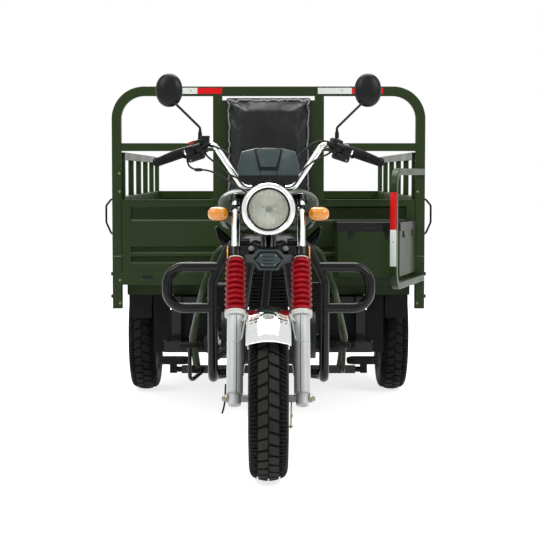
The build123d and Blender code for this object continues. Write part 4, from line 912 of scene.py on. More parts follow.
def build_mudguard(front_angle, sweep):
    """A plated guard with rounded ends and a rolled edge, on white stays."""
    half = 74.6
    radius = (span("front_mudguard")[1].z - AXLE.z) / MM - 0.2
    columns, rows = 40, 72
    corner = 26.0
    points, faces = [], []
    for row in range(rows + 1):
        for column in range(columns + 1):
            across, reach, inward = guard_section(column / columns, radius, half, 9.0)
            pull = 0.0
            if inward < corner:
                pull = corner - sqrt(corner**2 - (corner - inward) ** 2)
            start = front_angle + degrees(pull / radius)
            stop = front_angle + sweep - degrees(pull / radius)
            angle = radians(start + (stop - start) * row / rows)
            points.append(AXLE + Vector((across, -reach * cos(angle), reach * sin(angle))) * MM)
    wide = columns + 1
    for row in range(rows):
        for column in range(columns):
            a = row * wide + column
            faces.append((a, a + 1, a + wide + 1, a + wide))
    shell = mesh_from("front_guard_shell", points, faces)
    crown = shell.data.polygons[len(faces) // 2]
    if (crown.center - AXLE).dot(crown.normal) < 0:
        shell.data.flip_normals()
    wall = shell.modifiers.new("wall", "SOLIDIFY")
    wall.thickness = 0.0016
    wall.offset = -1
    shell = smooth(settle(shell), 50)
    loop = (
        [row * wide for row in range(rows + 1)]
        + [rows * wide + column for column in range(1, wide)]
        + [row * wide + columns for row in range(rows - 1, -1, -1)]
        + [column for column in range(columns - 1, 0, -1)]
    )
    roll = hoop("front_guard_roll", [points[index] for index in loop], 0.0019)
    made = smooth(join("front_guard", shell, roll), 50)
    wear(made, "chrome", "steering")
    stays = []
    inside = half + 3.0
    slider = LEG_OUT / MM - 23.5
    for side in (-1, 1):
        for start, end, width, thickness, hint in (
            ((inside + 2, -26, 300), (inside + 17, -26, 206), 0.0052, 0.012, ACROSS),
            ((inside - 4, -26, 296), (slider, -24, 277), 0.012, 0.007, FORK_BACK),
            ((inside + 14, -26, 214), (slider, -24, 217), 0.010, 0.007, FORK_BACK),
            ((inside - 1, 30, 294), (inside, -34, 294), 0.014, 0.003, FORK_UP),
        ):
            ends = [on_fork(side * across, back, up) for across, back, up in (start, end)]
            stays.append(beam("stay", *ends, width, thickness, hint))
    wear(smooth(join("front_guard_stays", *stays), 30), "stay_white", "steering")
    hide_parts("front_mudguard")
    spots = [(on_fork(side * (half + 4.6), back, 294), (side, 0, 0)) for side in (-1, 1) for back in (-14,
                                                                                                      22)]
    bolts("front_guard_bolts", spots, "bolt_steel", "steering", 0.0042, 0.003)


# ---------------------------------------------------------------- lamp, signals, cowl and horn
LENS_LOW, LENS_HIGH = span("headlight_lens")
LAMP = Vector((0, LENS_LOW.y + 0.008, (LENS_LOW.z + LENS_HIGH.z) / 2))
LENS_RADIUS = (LENS_HIGH.z - LENS_LOW.z) / 2


def fluted_lens(name, centre, radius, cells=150):
    """A domed lamp glass with upright flutes, a cross and a round middle."""
    points = []
    wide = cells + 1
    for back in (0, 1):
        for row in range(wide):
            for column in range(wide):
                u, v = 2 * column / cells - 1, 2 * row / cells - 1
                x, z = u * sqrt(1 - v * v / 2) * radius, v * sqrt(1 - u * u / 2) * radius
                away = sqrt(x * x + z * z)
                dome = 0.0155 * (away / radius) ** 2 - 0.0078
                relief = 0.0
                if not back and away < radius - 0.004:
                    flute = 0.0011 * (0.5 + 0.5 * cos(2 * pi * x / 0.0078))
                    if z < 0:
                        flute += 0.0005 * cos(2 * pi * x / 0.0234)
                    on_cross = min(abs(x), abs(z)) < 0.0020
                    relief = 0.0018 if on_cross else flute
                    if away < 0.013:
                        relief = 0.0005 * (0.5 + 0.5 * cos(2 * pi * away / 0.0065))
                points.append(centre + Vector((x, dome - relief + back * 0.0034, z)))
    faces = []
    block_size = wide * wide
    for row in range(cells):
        for column in range(cells):
            a = row * wide + column
            faces.append((a, a + 1, a + wide + 1, a + wide))
            faces.append((a + block_size, a + wide + block_size, a + wide + 1 + block_size,
                          a + 1 + block_size))
    rim = (
        [column for column in range(wide)]
        + [row * wide + cells for row in range(1, wide)]
        + [cells * wide + column for column in range(cells - 1, -1, -1)]
        + [row * wide for row in range(cells - 1, 0, -1)]
    )
    for here, after in zip(rim, rim[1:] + rim[:1]):
        faces.append((here, here + block_size, after + block_size, after))
    return smooth(mesh_from(name, points, faces), 30)


def turned(name, pairs, centre, axis, finish, body, steps=64, angle=35):
    """A turned piece from (radius, distance) pairs in millimetres, with its finish and body."""
    made = lathe(name, [(r * MM, a * MM) for r, a in pairs], centre, axis, steps)
    return wear(smooth(made, angle), finish, body)


def build_headlight():
    """Chrome ring, gasket, fluted glass, reflector and bulb cap in the lamp's bowl."""
    back = Vector((0, 1, 0))
    ring = [(77.0, 9), (76.4, 4), (77.6, 0.5), (80.5, -1.2), (84.5, -1.6), (89.5, 0.2), (93.6, 4.6),
            (95.9, 10.5),
            (96.0, 15.5), (94.6, 21), (91.0, 26.2), (86.8, 27.4), (85.0, 25), (84.0, 12)]
    turned("headlight_ring", ring, LAMP, back, "chrome", "steering", 128)
    step = [(76.6, 9), (76.2, 1.5), (74.6, 0.6), (71.2, 2.4), (70.6, 4.5), (70.6, 9)]
    turned("headlight_gasket", step, LAMP, back, "control_black", "steering", 96)
    glass_piece = fluted_lens("headlight_glass", LAMP, LENS_RADIUS - 0.003)
    wear(glass_piece, "lens_clear", "steering")
    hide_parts("headlight_lens")
    bowl = [(73.4, 14), (72, 24), (66.5, 42), (56, 60), (41, 74), (22, 83), (13, 86), (13, 89), (23, 86.2),
            (43, 77), (58.5, 62), (69, 43), (74.6, 24), (75.4, 14)]
    turned("headlight_reflector", bowl, LAMP, back, "reflector", "steering", 96, angle=60)
    cap = [(0, 22), (6, 22.4), (9.4, 25), (9.8, 30), (9.8, 44), (8.2, 44), (8.2, 32), (0, 30)]
    turned("headlight_bulb_cap", cap, LAMP, back, "bolt_steel", "steering", 32)
    stem = [(0, 44), (4.6, 44), (5.0, 60), (12.6, 84), (12.6, 90), (0, 90)]
    turned("headlight_bulb", stem, LAMP, back, "switch_white", "steering", 24)
    screws = [(LAMP + Vector((side * 0.0962, 0.0125, -0.012)), (side, 0, 0)) for side in (-1, 1)]
    bolts("headlight_rim_screws", screws, "bolt_steel", "steering", 0.0036, 0.003)
    screws = [(LAMP + Vector((side * 0.105, 0.074, 0.0)), (side, 0, 0)) for side in (-1, 1)]
    bolts("headlight_ear_bolts", screws, "bolt_steel", "steering", 0.0075, 0.006)


def pod(name, centre, size, front, back, power=2.6, rings=14, steps=56):
    """A rounded-oblong shell whose sections are superellipses, between two depths."""
    centre = Vector(centre)
    half_x, half_z = size
    sections = []
    for ring in range(rings + 1):
        turn = pi / 2 * ring / rings
        share, run = cos(turn) ** 0.72 if ring < rings else 0.0, sin(turn)
        outline = []
        for step in range(steps):
            across, up = oval(2 * pi * step / steps, 2 / power)
            outline.append(centre + Vector((half_x * share * across, back + (front - back) * run,
                                            half_z * share * up)))
        sections.append(outline)
    return loft(name, sections, True, 50)


def build_signals():
    """Amber oval signals with black backs on rubber stalks."""
    low, high = span("turn_signals")
    out = high.x - 0.038
    level = high.z - 0.026
    depth = low.y + 0.026
    for side, word in SIDES:
        centre = Vector((side * out, depth, level))
        lens = pod(f"turn_signal_lens_{word}", centre, (0.0378, 0.0258), -0.0255, 0.002)
        wear(lens, "amber", "steering")
        rim = pod(f"turn_signal_back_{word}", centre, (0.0374, 0.0254), 0.0235, 0.0022)
        wear(rim, "control_black", "steering")
        seam = []
        for step in range(56):
            across, up = oval(2 * pi * step / 56, 0.77)
            seam.append(centre + Vector((0.0382 * across, 0.0018, 0.0262 * up)))
        wear(hoop(f"turn_signal_band_{word}", seam, 0.0016), "control_black", "steering")
        root = Vector((side * (LEG_OUT + 0.016), depth + 0.012, level))
        run = centre + Vector((side * -0.031, 0.006, 0)) - root
        long = run.length / MM
        stalk = [(0, 0), (11.5, 0), (12.2, 3), (9.4, 6), (8.4, 10), (9.2, 14), (8.2, 18), (9.0, 22),
                 (10.4, long - 2), (9.6, long + 3), (0, long + 3)]
        turned(f"turn_signal_stalk_{word}", stalk, root, run, "control_black", "steering", 32)
    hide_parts("turn_signals")


def build_cowl():
    """Instrument cowl with folded facets, a bare middle panel and a dial for the rider."""
    low, high = span("instrument_cowl")

    def place(across, setback, level):
        return Vector((across * MM, low.y + setback * MM, level * MM))

    right = [
        (30, 3, 1042), (29, -1, 1087), (48, 20, 1153),
        (84, 24, 1030), (107, 42, 1040), (112, 44, 1082), (97, 40, 1140), (90, 36, 1143),
        (108, 100, 1036), (113, 100, 1085), (98, 100, 1144), (52, 90, 1155),
        (92, 134, 1038), (98, 136, 1084), (84, 136, 1132), (46, 134, 1140),
    ]
    middle = [(0, 2, 1042), (0, -2, 1087), (0, 18, 1155), (0, 88, 1157), (0, 136, 1142), (0, 136, 1040)]
    points = [place(*p) for p in right] + [place(-p[0], p[1],
                                                 p[2]) for p in right] + [place(*p) for p in middle]
    count = len(right)
    half_faces = [
        ("m0", 0, 1, "m1"), ("m1", 1, 2, "m2"), (0, 3, 5, 1), (3, 4, 5), (1, 5, 6, 7), (1, 7, 2),
        (4, 8, 9, 5), (5, 9, 10, 6), (7, 6, 10, 11), (2, 7, 11), ("m2", 2, 11, "m3"),
        (8, 12, 13, 9), (9, 13, 14, 10), (10, 14, 15, 11), ("m3", 11, 15, "m4"),
        ("m4", 15, 14, 13, 12, "m5"), ("m5", 12, 8, 4, 3, 0, "m0"),
    ]
    faces = []
    for face in half_faces:
        own = [2 * count + int(i[1]) if isinstance(i, str) else i for i in face]
        other = [2 * count + int(i[1]) if isinstance(i, str) else i + count for i in face]
        faces += [tuple(own), tuple(reversed(other))]
    body = smooth(rounded(mesh_from("cowl_body", points, faces), 0.0032, 12), 60)
    wear(body, "cowl_grey", "steering")
    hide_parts("instrument_cowl")
    lean = (place(0, 20, 1153) - place(0, -1, 1087)).normalized()
    for name, outline, thickness, origin, bevel, finish in (
        ("cowl_panel", ((-27, 4), (27, 4), (44, 66), (38, 69), (-38, 69), (-44, 66)), 0.007,
         place(0, -5.2, 1085), 0.0018, "cowl_grey"),
        ("cowl_panel_rim", ((-35, -8), (35, -8), (51, 68), (43, 73), (-43, 73), (-51, 68)), 0.006,
         place(0, -3.2, 1084.5), 0.0016, "control_black"),
    ):
        cut = [(x * MM, z * MM) for x, z in outline]
        wear(plate(name, cut, thickness, origin, (1, 0, 0), lean, bevel), finish, "steering")
    skirt = [(109, 100, 1035), (107.5, 41, 1039), (84, 22.5, 1029), (30, 1.5, 1041)]
    brow = [(111.6, 100), (110.4, 41.4), (98.5, 33), (29.7, 0.3)]
    stations = [(-x, y, z, -bx, by) for (x, y, z), (bx, by) in zip(skirt, brow)]
    stations += [(x, y, z, bx, by) for (x, y, z), (bx, by) in zip(reversed(skirt), reversed(brow))]
    rings = []
    for x, y, z, brow_x, brow_y in stations:
        inward = 3 if abs(x) < 108 else 0
        side_in = 0 if inward else (3 if x < 0 else -3)
        ahead = 2.2 if inward else 0
        rings.append([place(x, y - ahead, z), place(brow_x, brow_y - ahead, 1057),
                      place(brow_x + side_in, brow_y + inward, 1057), place(x + side_in, y + inward, z)])
    wear(loft("cowl_skirt", rings, True, 20), "control_black", "steering")
    seams = [beam("seam", place(side * 29, -1.6, 1086), place(side * 29.7, 1.2, 1057), 0.0018, 0.0008)
             for side in (-1, 1)]
    wear(join("cowl_seams", *seams), "dial_black", "steering")
    dial_at = Vector((0, high.y - 0.001, 1.094))
    back = (0, 1, 0)
    face = [(0, 0), (40, 0), (40, 3), (0, 3)]
    turned("dial_face", face, dial_at, back, "dial_black", "steering", 64)
    bezel = [(40, -2), (46, -2), (47.5, 1), (46.5, 7), (43, 9), (40.5, 7), (40, 3)]
    turned("dial_bezel", bezel, dial_at, back, "chrome", "steering", 64)
    marks = []
    for mark in range(25):
        turn = radians(-130 + 260 * mark / 24)
        long = 9 if mark % 4 == 0 else 5
        way = Vector((sin(turn), 0, cos(turn)))
        start = dial_at + Vector((0, 0.0033, 0)) + way * 0.036
        marks.append(beam("mark", start, start - way * long * MM, 0.0011, 0.0004, (cos(turn), 0, -sin(turn)),
                          0.0001))
    wear(join("dial_marks", *marks), "switch_white", "steering")
    way = Vector((sin(radians(-130)), 0, cos(radians(-130))))
    pivot = dial_at + Vector((0, 0.0042, 0))
    needle = beam("dial_needle", pivot - way * 0.006, pivot + way * 0.029, 0.0018, 0.0008, (way.z, 0, -way.x),
                  0.0002)
    wear(needle, "button_red", "steering")
    hub = [(0, 3), (5, 3), (5, 7), (3.5, 8), (0, 8)]
    turned("dial_hub", hub, dial_at, back, "control_black", "steering", 24)
    tell = [(0, 0), (6.5, 0), (6.5, 2.5), (4.5, 4), (0, 4.4)]
    for side, word in SIDES:
        turned(f"tell_tale_{word}", tell, dial_at + Vector((side * 0.064, 0, 0.004)), back, "amber",
               "steering", 24)
    key = [(0, 0), (11, 0), (12, 2), (12, 6), (9, 8), (0, 8)]
    turned("ignition_barrel", key, dial_at + Vector((0.066, 0, -0.034)), back, "bolt_steel", "steering", 32)


def build_horn():
    """A six-sided horn cover with a raised rim, a sunk bare panel and four screws."""
    low, high = span("horn_cover")
    middle = (low + high) / 2
    shape = [(-38, 37), (38, 37), (62, 12), (36, -37), (-36, -37), (-62, 12)]

    def scaled(amount):
        return [((x - amount * (1 if x > 0 else -1) * 1.1) * MM,
                 (z - amount * (1 if z > 0 else -1) * 0.9) * MM) for x, z in reversed(shape)]

    origin = Vector((0, low.y + 0.004, middle.z))
    back = plate("horn_back", scaled(1.0), 0.027, origin, (1, 0, 0), (0, 0, 1), 0.005)
    rim_outer, rim_inner = scaled(0.2), scaled(7.5)
    points = []
    for ring, setback in ((rim_outer, 8), (rim_outer, 1.5), (scaled(2.2), 0), (scaled(5.5), 0),
                          (rim_inner, 2),
                          (rim_inner, 8)):
        points.append([Vector((x, low.y + setback * MM, middle.z + z)) for x, z in ring])
    rim = rounded(loft("horn_rim", points + [points[0]], capped=False, angle=30), 0.0014)
    inner = plate("horn_panel", scaled(14), 0.004, Vector((0, low.y + 0.0015, middle.z)), (1, 0, 0),
                  (0, 0, 1), 0.0015)
    ribs = slab("horn_rib", (-0.022, low.y + 0.0002, middle.z + 0.010),
                (0.022, low.y + 0.002, middle.z + 0.0125),
                0.0006, 2)
    ribs = run_tree(ribs, "row", count=3, step=(0.0, 0.0, -0.0125), finish=coat("cowl_grey"))
    wear(back, "control_black", "steering")
    wear(rim, "cowl_grey", "steering")
    wear(inner, "cowl_grey", "steering")
    wear(ribs, "control_black", "steering")
    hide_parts("horn_cover")
    spots = [(Vector((side * x * MM, low.y + 0.0016, middle.z + z * MM)), (0, -1, 0))
             for side in (-1, 1) for x, z in ((27, 16), (22, -17))]
    bolts("horn_screws", spots, "bolt_steel", "steering", 0.0028, 0.0016)


# ---------------------------------------------------------------- handlebar fittings
GRIP_TIP = Vector((0.424, behind(490), 1.105))
GRIP_ROOT = Vector((0.203, behind(380), 1.176))
GRIP_RUN = (GRIP_TIP - GRIP_ROOT).normalized()


def along_grip(side, distance, up=0.0, ahead=0.0):
    """A place on the bar's straight end, that far in from its tip, in millimetres."""
    place = GRIP_TIP - GRIP_RUN * distance * MM
    return Vector((side * place.x, place.y - ahead * MM, place.z + up * MM))


def strand(name, stations, hint, steps=16):
    """A bar of changing oval section: (place, half width along the hint, half thickness) at each station."""
    rings = []
    for index, (place, wide, thick) in enumerate(stations):
        before = Vector(stations[max(index - 1, 0)][0])
        after = Vector(stations[min(index + 1, len(stations) - 1)][0])
        run = (after - before).normalized()
        across = (Vector(hint) - run * Vector(hint).dot(run)).normalized()
        other = run.cross(across)
        turns = [2 * pi * step / steps for step in range(steps)]
        rings.append([Vector(place) + (across * wide * cos(t) + other * thick * sin(t)) * MM for t in turns])
    return loft(name, rings, True, 50)


def build_grips():
    """Rubber grips with lengthwise ribs, an inner flange and a rounded end."""
    for side, word in SIDES:
        way = along_grip(side, 0) - along_grip(side, 1)
        way.normalize()
        up, out = frame_of(way)
        rings = []
        for along, radius, rib in (
            (0, 20.0, 0), (1.5, 21.0, 0), (4.5, 20.6, 0), (6, 17.0, 0), (7, 15.8, 0), (9, 15.8, 0.55),
            (60, 15.9, 0.55),
            (62, 16.6, 0.2), (66, 16.6, 0.2), (68, 15.9, 0.55), (122, 16.0, 0.55), (124, 16.4, 0),
            (128, 17.3, 0),
            (131, 17.0, 0), (133.4, 14.5, 0), (134, 8, 0),
        ):
            ring = []
            for step in range(128):
                turn = 2 * pi * step / 128
                reach = (radius + rib * cos(32 * turn)) * MM
                ring.append(along_grip(side,
                                       128) + way * along * MM + (up * cos(turn) + out * sin(turn)) * reach)
            rings.append(ring)
        grip = loft(f"hand_grip_{word}", rings, True, 30)
        wear(grip, "grip_rubber", "steering")
    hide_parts("hand_grips")


def block_on_grip(side, inner, outer, low, high, front, back, bevel=0.004):
    """A rounded block set along the bar's end, between distances in millimetres."""
    centre_up, centre_ahead = (low + high) / 2, (front + back) / 2
    start = along_grip(side, inner, centre_up, centre_ahead)
    end = along_grip(side, outer, centre_up, centre_ahead)
    return beam("block", start, end, (front - back) * MM, (high - low) * MM, (0, -1, 0), bevel)


def build_controls():
    """Switch housings, brake and clutch perches, levers and buttons."""
    for side, word in SIDES:
        shell = [
            block_on_grip(side, 226, 186, -20, 31, 23, -20, 0.006),
            block_on_grip(side, 184, 143, -23, 19, 24, -21, 0.007),
            block_on_grip(side, 187, 183, -18, 17, 20, -17, 0.001),
            block_on_grip(side, 214, 150, -44, -18, 30, -8, 0.008),
            block_on_grip(side, 230, 206, -26, -10, 40, 14, 0.004),
        ]
        body = smooth(join(f"switch_housing_{word}", *shell), 40)
        wear(body, "control_black", "steering")
        perch = [
            block_on_grip(side, 206, 176, 2, 16, 52, 12, 0.005),
            block_on_grip(side, 238, 200, -4, 12, 38, 8, 0.004),
        ]
        wear(smooth(join(f"lever_bracket_{word}", *perch), 40), "control_black", "steering")
        stations = [(along_grip(side, inward, up, ahead), wide, thick) for inward, up, ahead, wide, thick in (
            (202, 10, 44, 9, 4.5), (186, 10, 50, 10, 4.5), (166, 13, 52, 8.5, 4), (130, 17, 50, 7, 3.4),
            (80, 18, 47, 6.4, 3.2), (40, 15, 45, 6.2, 3.2), (12, 12, 45, 6, 3.4), (5, 11, 45, 7.2, 6.4),
            (0, 11, 45, 6.6, 6.2), (-3, 11, 45, 2, 2),
        )]
        wear(strand(f"hand_lever_{word}", stations, (0, -1, 0)), "lever_black", "steering")
        bolts(f"housing_screws_{word}", [
            (along_grip(side, 205, -14, 22.6), (0, -1, 0)), (along_grip(side, 160, 10, 23.6), (0, -1, 0)),
            (along_grip(side, 160, -36, 29.6), (0, -1, 0)), (along_grip(side, 192, 16.4, 44), (0, 0, 1)),
        ], "bolt_steel", "steering", 0.0034, 0.0022)
    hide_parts("hand_controls")
    for name, finish, *block in (
        ("stop_button", "button_red", -1, 178, 152, 17, 34, 18, -2, 0.004),
        ("lamp_switch", "switch_white", 1, 174, 148, 17, 25, 18, -2, 0.003),
        ("indicator_switch", "switch_white", 1, 200, 190, 30, 36, 12, -4, 0.002),
        ("starter_button", "dial_black", -1, 212, 200, 26, 34, 16, 0, 0.002),
    ):
        button = block_on_grip(*block)
        button.name = name
        wear(button, finish, "steering")
    well = [(0, 0), (15, 0), (16, 1.5), (16, 15), (17.4, 16), (17.4, 21), (16, 22.4), (0, 23)]
    turned("brake_reservoir", well, along_grip(-1, 222, 14, 22), (0, 0, 1), "control_black", "steering", 40)


def build_mirrors():
    """Oval mirrors in domed shells on bent stems."""
    high = span("mirrors")[1]
    for side, word in SIDES:
        centre = Vector((side * (high.x - 0.050), behind(366 + 70), high.z - 0.062))
        rings = []
        for share, out in ((1.0, 8.5), (1.02, 6), (1.02, 2), (0.99, -2), (0.93, -7), (0.83, -12), (0.66, -17),
                           (0.42, -20.5), (0.16, -22), (0.02, -22.2)):
            drop = -14 * (1 - share)
            ring = []
            for step in range(72):
                across, up = oval(2 * pi * step / 72, 0.93)
                ring.append(centre + Vector((49.0 * share * across * MM, out * MM,
                                             (60.8 * share * up + drop) * MM)))
            rings.append(ring)
        shell = loft(f"mirror_shell_{word}", rings, True, 50)
        wear(shell, "mirror_black", "steering")
        turns = [2 * pi * step / 72 for step in range(72)]
        face = [[centre + Vector((45.5 * share * cos(t) * MM, out * MM,
                                  57 * share * sin(t) * MM)) for t in turns]
                for share, out in ((1.0, 8.0), (0.985, 10.4), (0.02, 10.4))]
        wear(loft(f"mirror_glass_{word}", face, True, 30), "mirror_face", "steering")
        base = along_grip(side, 198)
        foot, knee = base + Vector((0, 0, 0.018)), base + Vector((0, 0, 0.074))
        end = centre + Vector((side * -0.004, -0.010, -0.030))
        run = (end - knee).normalized()
        stem = bar(f"mirror_stem_{word}",
                   [foot, knee - Vector((0, 0, 0.024)), knee - Vector((0, 0, 0.010)), knee,
                                           knee + run * 0.012, knee + run * 0.03, end - run * 0.03, end],
                                           0.0047)
        wear(stem, "lever_black", "steering")
        boot = [(0, 26), (10.5, 26), (10.5, 34), (8.6, 36), (8.6, 52), (6.4, 60), (5.6, 64), (0, 64)]
        turned(f"mirror_boot_{word}", boot, base, (0, 0, 1), "grip_rubber", "steering", 6, angle=20)
        neck = [(0, -2), (7.5, -1), (8.2, 4), (7.2, 9), (0, 10)]
        turned(f"mirror_neck_{word}", neck, end, -run, "control_black", "steering", 24)
    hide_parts("mirrors")


CABLE_ROUTES = {
    "throttle": ((-232, 11, 1177), (-212, -2, 1168), (-188, -20, 1159), (-162, -35, 1147), (-137, -49, 1131),
                 (-116, -61, 1109), (-99, -70, 1084)),
    "front_brake": ((-240, 22, 1150), (-230, 4, 1131), (-207, -12, 1112), (-181, -25, 1092),
                    (-156, -38, 1071),
                    (-132, -52, 1054), (-97, -71, 1042)),
    "stop_wire": ((-304, 58, 1128), (-302, 50, 1104), (-290, 40, 1085), (-265, 28, 1078), (-236, 15, 1078),
                  (-207, 1, 1071), (-179, -13, 1057), (-151, -28, 1041), (-124, -44, 1024), (-98, -62, 1007),
                  (-73, -82, 990), (-50, -103, 972)),
    "clutch": ((236, 13, 1177), (216, 6, 1182), (190, -6, 1185), (163, -12, 1174), (138, -14, 1154),
               (116, -16, 1131), (95, -20, 1109), (76, -26, 1093), (58, -33, 1084)),
    "switch_wire": ((238, 24, 1150), (222, 6, 1136), (199, -11, 1127), (173, -26, 1114), (148, -41, 1097),
                    (124, -56, 1077), (99, -70, 1056)),
}


def build_cables():
    """Cables and wires from the bar's ends to the cowl and the lamp."""
    for word, route in CABLE_ROUTES.items():
        points = [Vector((x * MM, behind(366 + y), z * MM)) for x, y, z in route]
        wear(bar(f"cable_{word}", points, 0.0035, 10, 3), "cable_black", "steering")
        if word == "stop_wire":
            start, run = points[3], points[4] - points[3]
            plug = [(0, -9), (5, -8), (6.2, -5), (6.4, 0), (5.4, 1), (6.4, 2), (6.4, 14), (5.6, 18), (4, 22),
                    (0, 22)]
            turned("stop_wire_plug", plug, start, run, "control_black", "steering", 24)
    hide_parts("control_cables")


# ---------------------------------------------------------------- fork fittings
def build_fork_fittings():
    """Yoke bolts, side reflectors, axle nuts and spacers, slider caps and the brake rod."""
    spots = []
    for side in (-1, 1):
        spots.append((on_fork(side * 62, -36, 552), -FORK_BACK))
        spots.append((on_fork(side * LEG_OUT / MM, 26, 548), (side, 0, 0)))
    bolts("yoke_bolts", spots, "bolt_steel", "steering", 0.0075, 0.006)
    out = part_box("fork_yokes")[1][0] / MM
    for side, word in SIDES:
        plate_rings = []
        for share, depth in ((1, 0), (1, 3.2), (0.93, 4.6), (0.5, 5.2), (0.05, 5.3)):
            ring = []
            for step in range(40):
                turn = 2 * pi * step / 40
                across = depth + out - 0.5
                ring.append(on_fork(side * across, -4 + 13 * share * cos(turn), 550 + 25 * share * sin(turn)))
            plate_rings.append(ring)
        wear(loft(f"fork_reflector_{word}", plate_rings, True, 40), "amber", "steering")
        nut_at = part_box("front_axle")[1][0] / MM
        nut = [(0, 0), (11, 0), (12.5, 1.5), (12.5, 3.5), (10.4, 4), (10.4, 11), (9, 12.5), (6, 12.5),
               (6, 16), (0, 17)]
        turned(f"axle_nut_{word}", nut, AXLE + Vector((side * (nut_at - 17) * MM, 0, 0)), (side, 0, 0),
               "axle_zinc",
               "steering", 6, angle=20)
        inner = LEG_OUT / MM - 22
        space = [(0, 0), (10.5, 0), (11.5, -1.5), (11.5, -8), (9.4, -10), (9.4, 16 - inner + 48),
                 (0, 16 - inner + 48)]
        turned(f"axle_spacer_{word}", space, AXLE + Vector((side * inner * MM, 0, 0)), (side, 0, 0),
               "bolt_steel",
               "steering", 32)
        for up, radius in ((-23.5, 15), (8, 23.2), (201, 29.8)):
            band = [(radius - 3, -2), (radius, -1.6), (radius + 0.5, 0), (radius, 1.6), (radius - 3, 2)]
            turned(f"slider_band_{word}_{int(up)}", band, on_fork(side * LEG_OUT / MM, 0, up), FORK_UP,
                   "silver_paint", "steering", 56)
        seam = beam(f"slider_seam_{word}", on_fork(side * LEG_OUT / MM + side * -6, -28.4, 12),
                    on_fork(side * LEG_OUT / MM + side * -6, -28.4, 300), 0.0022, 0.0012, (1, 0, 0), 0.0004)
        wear(seam, "dial_black", "steering")
    rod_line = [on_fork(80, 14, -8), on_fork(79, 20, -50), on_fork(78, 26, -92)]
    wear(bar("brake_cable_end", rod_line, 0.0026), "axle_zinc", "steering")
    spots = [(on_fork(78, 26, -92), (0, 0, -1)), (on_fork(79, 21, -56), (1, 0, 0))]
    bolts("brake_cable_nuts", spots, "axle_zinc", "steering", 0.006, 0.006)
    feed = [on_fork(-150, 24, 60), on_fork(-152, 26, 0), on_fork(-156, 30, -26), on_fork(-162, 34, -44)]
    wear(bar("meter_cable_end", feed, 0.0032), "cable_black", "steering")


# ---------------------------------------------------------------- tank and panels
def soft_section(half, middle, above, below, power, steps=40):
    """A rounded outline (across, height), with its own depth above and below its middle."""
    outline = []
    for step in range(steps):
        across, up = oval(2 * pi * step / steps, 2 / power)
        outline.append((half * across, middle + (above if up >= 0 else below) * up))
    return outline


def build_tank():
    """A rounded tank with a cap and black side shrouds."""
    low = span("fuel_tank")[0]
    base = low.z / MM
    rings = []
    for setback, half, middle, above, below, power in (
        (476, 40, 100, 30, 30, 2.2), (480, 92, 100, 62, 58, 2.4), (500, 132, 100, 76, 78, 2.6),
        (540, 172, 98, 86, 90, 2.9), (590, 196, 92, 96, 89, 3.1), (650, 200, 88, 100, 87, 3.2),
        (700, 190, 84, 101, 83, 3.1), (750, 166, 80, 96, 79, 2.9), (800, 146, 74, 84, 73, 2.8),
        (845, 128, 64, 66, 63, 2.6), (872, 106, 54, 48, 50, 2.4), (879, 60, 50, 26, 28, 2.2),
    ):
        outline = soft_section(half, middle, above, below, power)
        rings.append([Vector((x * MM, behind(setback), (base + z) * MM)) for x, z in outline])
    tank = loft("tank_shell", rings, True, 60)
    finer = tank.modifiers.new("finer", "SUBSURF")
    finer.levels = finer.render_levels = 2
    tank = smooth(settle(tank), 60)
    wear(tank, "tank_green", "chassis")
    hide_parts("fuel_tank")
    cap = [(0, -14), (34, -14), (35, -2), (35, 4), (32, 6), (31, 12), (27, 17), (12, 19), (0, 19.5)]
    top = (base + 92 + 97) * MM
    turned("tank_cap", cap, Vector((0, behind(600), top - 0.006)), (0, 0, 1), "lever_black", "chassis", 56)
    turned("tank_cap_ring", [(35, -8), (41, -8), (42, -3), (40, -1), (36, -1)],
           Vector((0, behind(600), top - 0.001)), (0, 0, 1), "chrome", "chassis", 56)
    turned("tank_lock", [(0, 0), (8, 0), (8, 2), (0, 2.4)], Vector((0, behind(600), top + 0.0125)), (0, 0, 1),
           "bolt_steel", "chassis", 24)
    for side, word in SIDES:
        stations = []
        for share in [step / 12 for step in range(13)]:
            bow = sin(pi * share)
            stations.append((Vector((side * (200 - 66 * share) * MM, behind(560 + 60 * share),
                                     (860 - 74 * share - 16 * bow) * MM)), 7 + 16 * bow, 5 + 3 * bow))
        shroud = strand(f"tank_shroud_{word}", stations, (0, 0, 1), 24)
        wear(shroud, "panel_black", "chassis")
        lower = [(p - Vector((0, 0.001, w * MM * 0.95)), 2.6, 2.4) for p, w, _ in stations[1:-1]]
        wear(strand(f"shroud_rim_{word}", lower, (0, 0, 1), 10), "lever_black", "chassis")


def build_panels():
    """Raised middles and screws on the black panels below the seat."""
    high = span("knee_panels")[1]
    for side, word in SIDES:
        outline = [(behind(735), 0.712), (behind(862), 0.664), (behind(1040), 0.655), (behind(1040), 0.690),
                   (behind(896), 0.694), (behind(868), 0.800), (behind(690), 0.802)]
        place = [(-y, z) for y, z in outline] if side < 0 else [(y, z) for y, z in outline]
        ridge = plate(f"panel_middle_{word}", place, 0.005, Vector((side * (high.x + 0.0035), 0, 0)),
                      (0, side, 0), (0, 0, 1), 0.0022)
        wear(ridge, "panel_black", "chassis")
        spots = [(Vector((side * (high.x + 0.0002), behind(b), z)), (side, 0, 0))
                 for b, z in ((676, 0.806), (1066, 0.690), (1066, 0.645), (880, 0.648))]
        bolts(f"panel_screws_{word}", spots, "bolt_steel", "chassis", 0.005, 0.003)


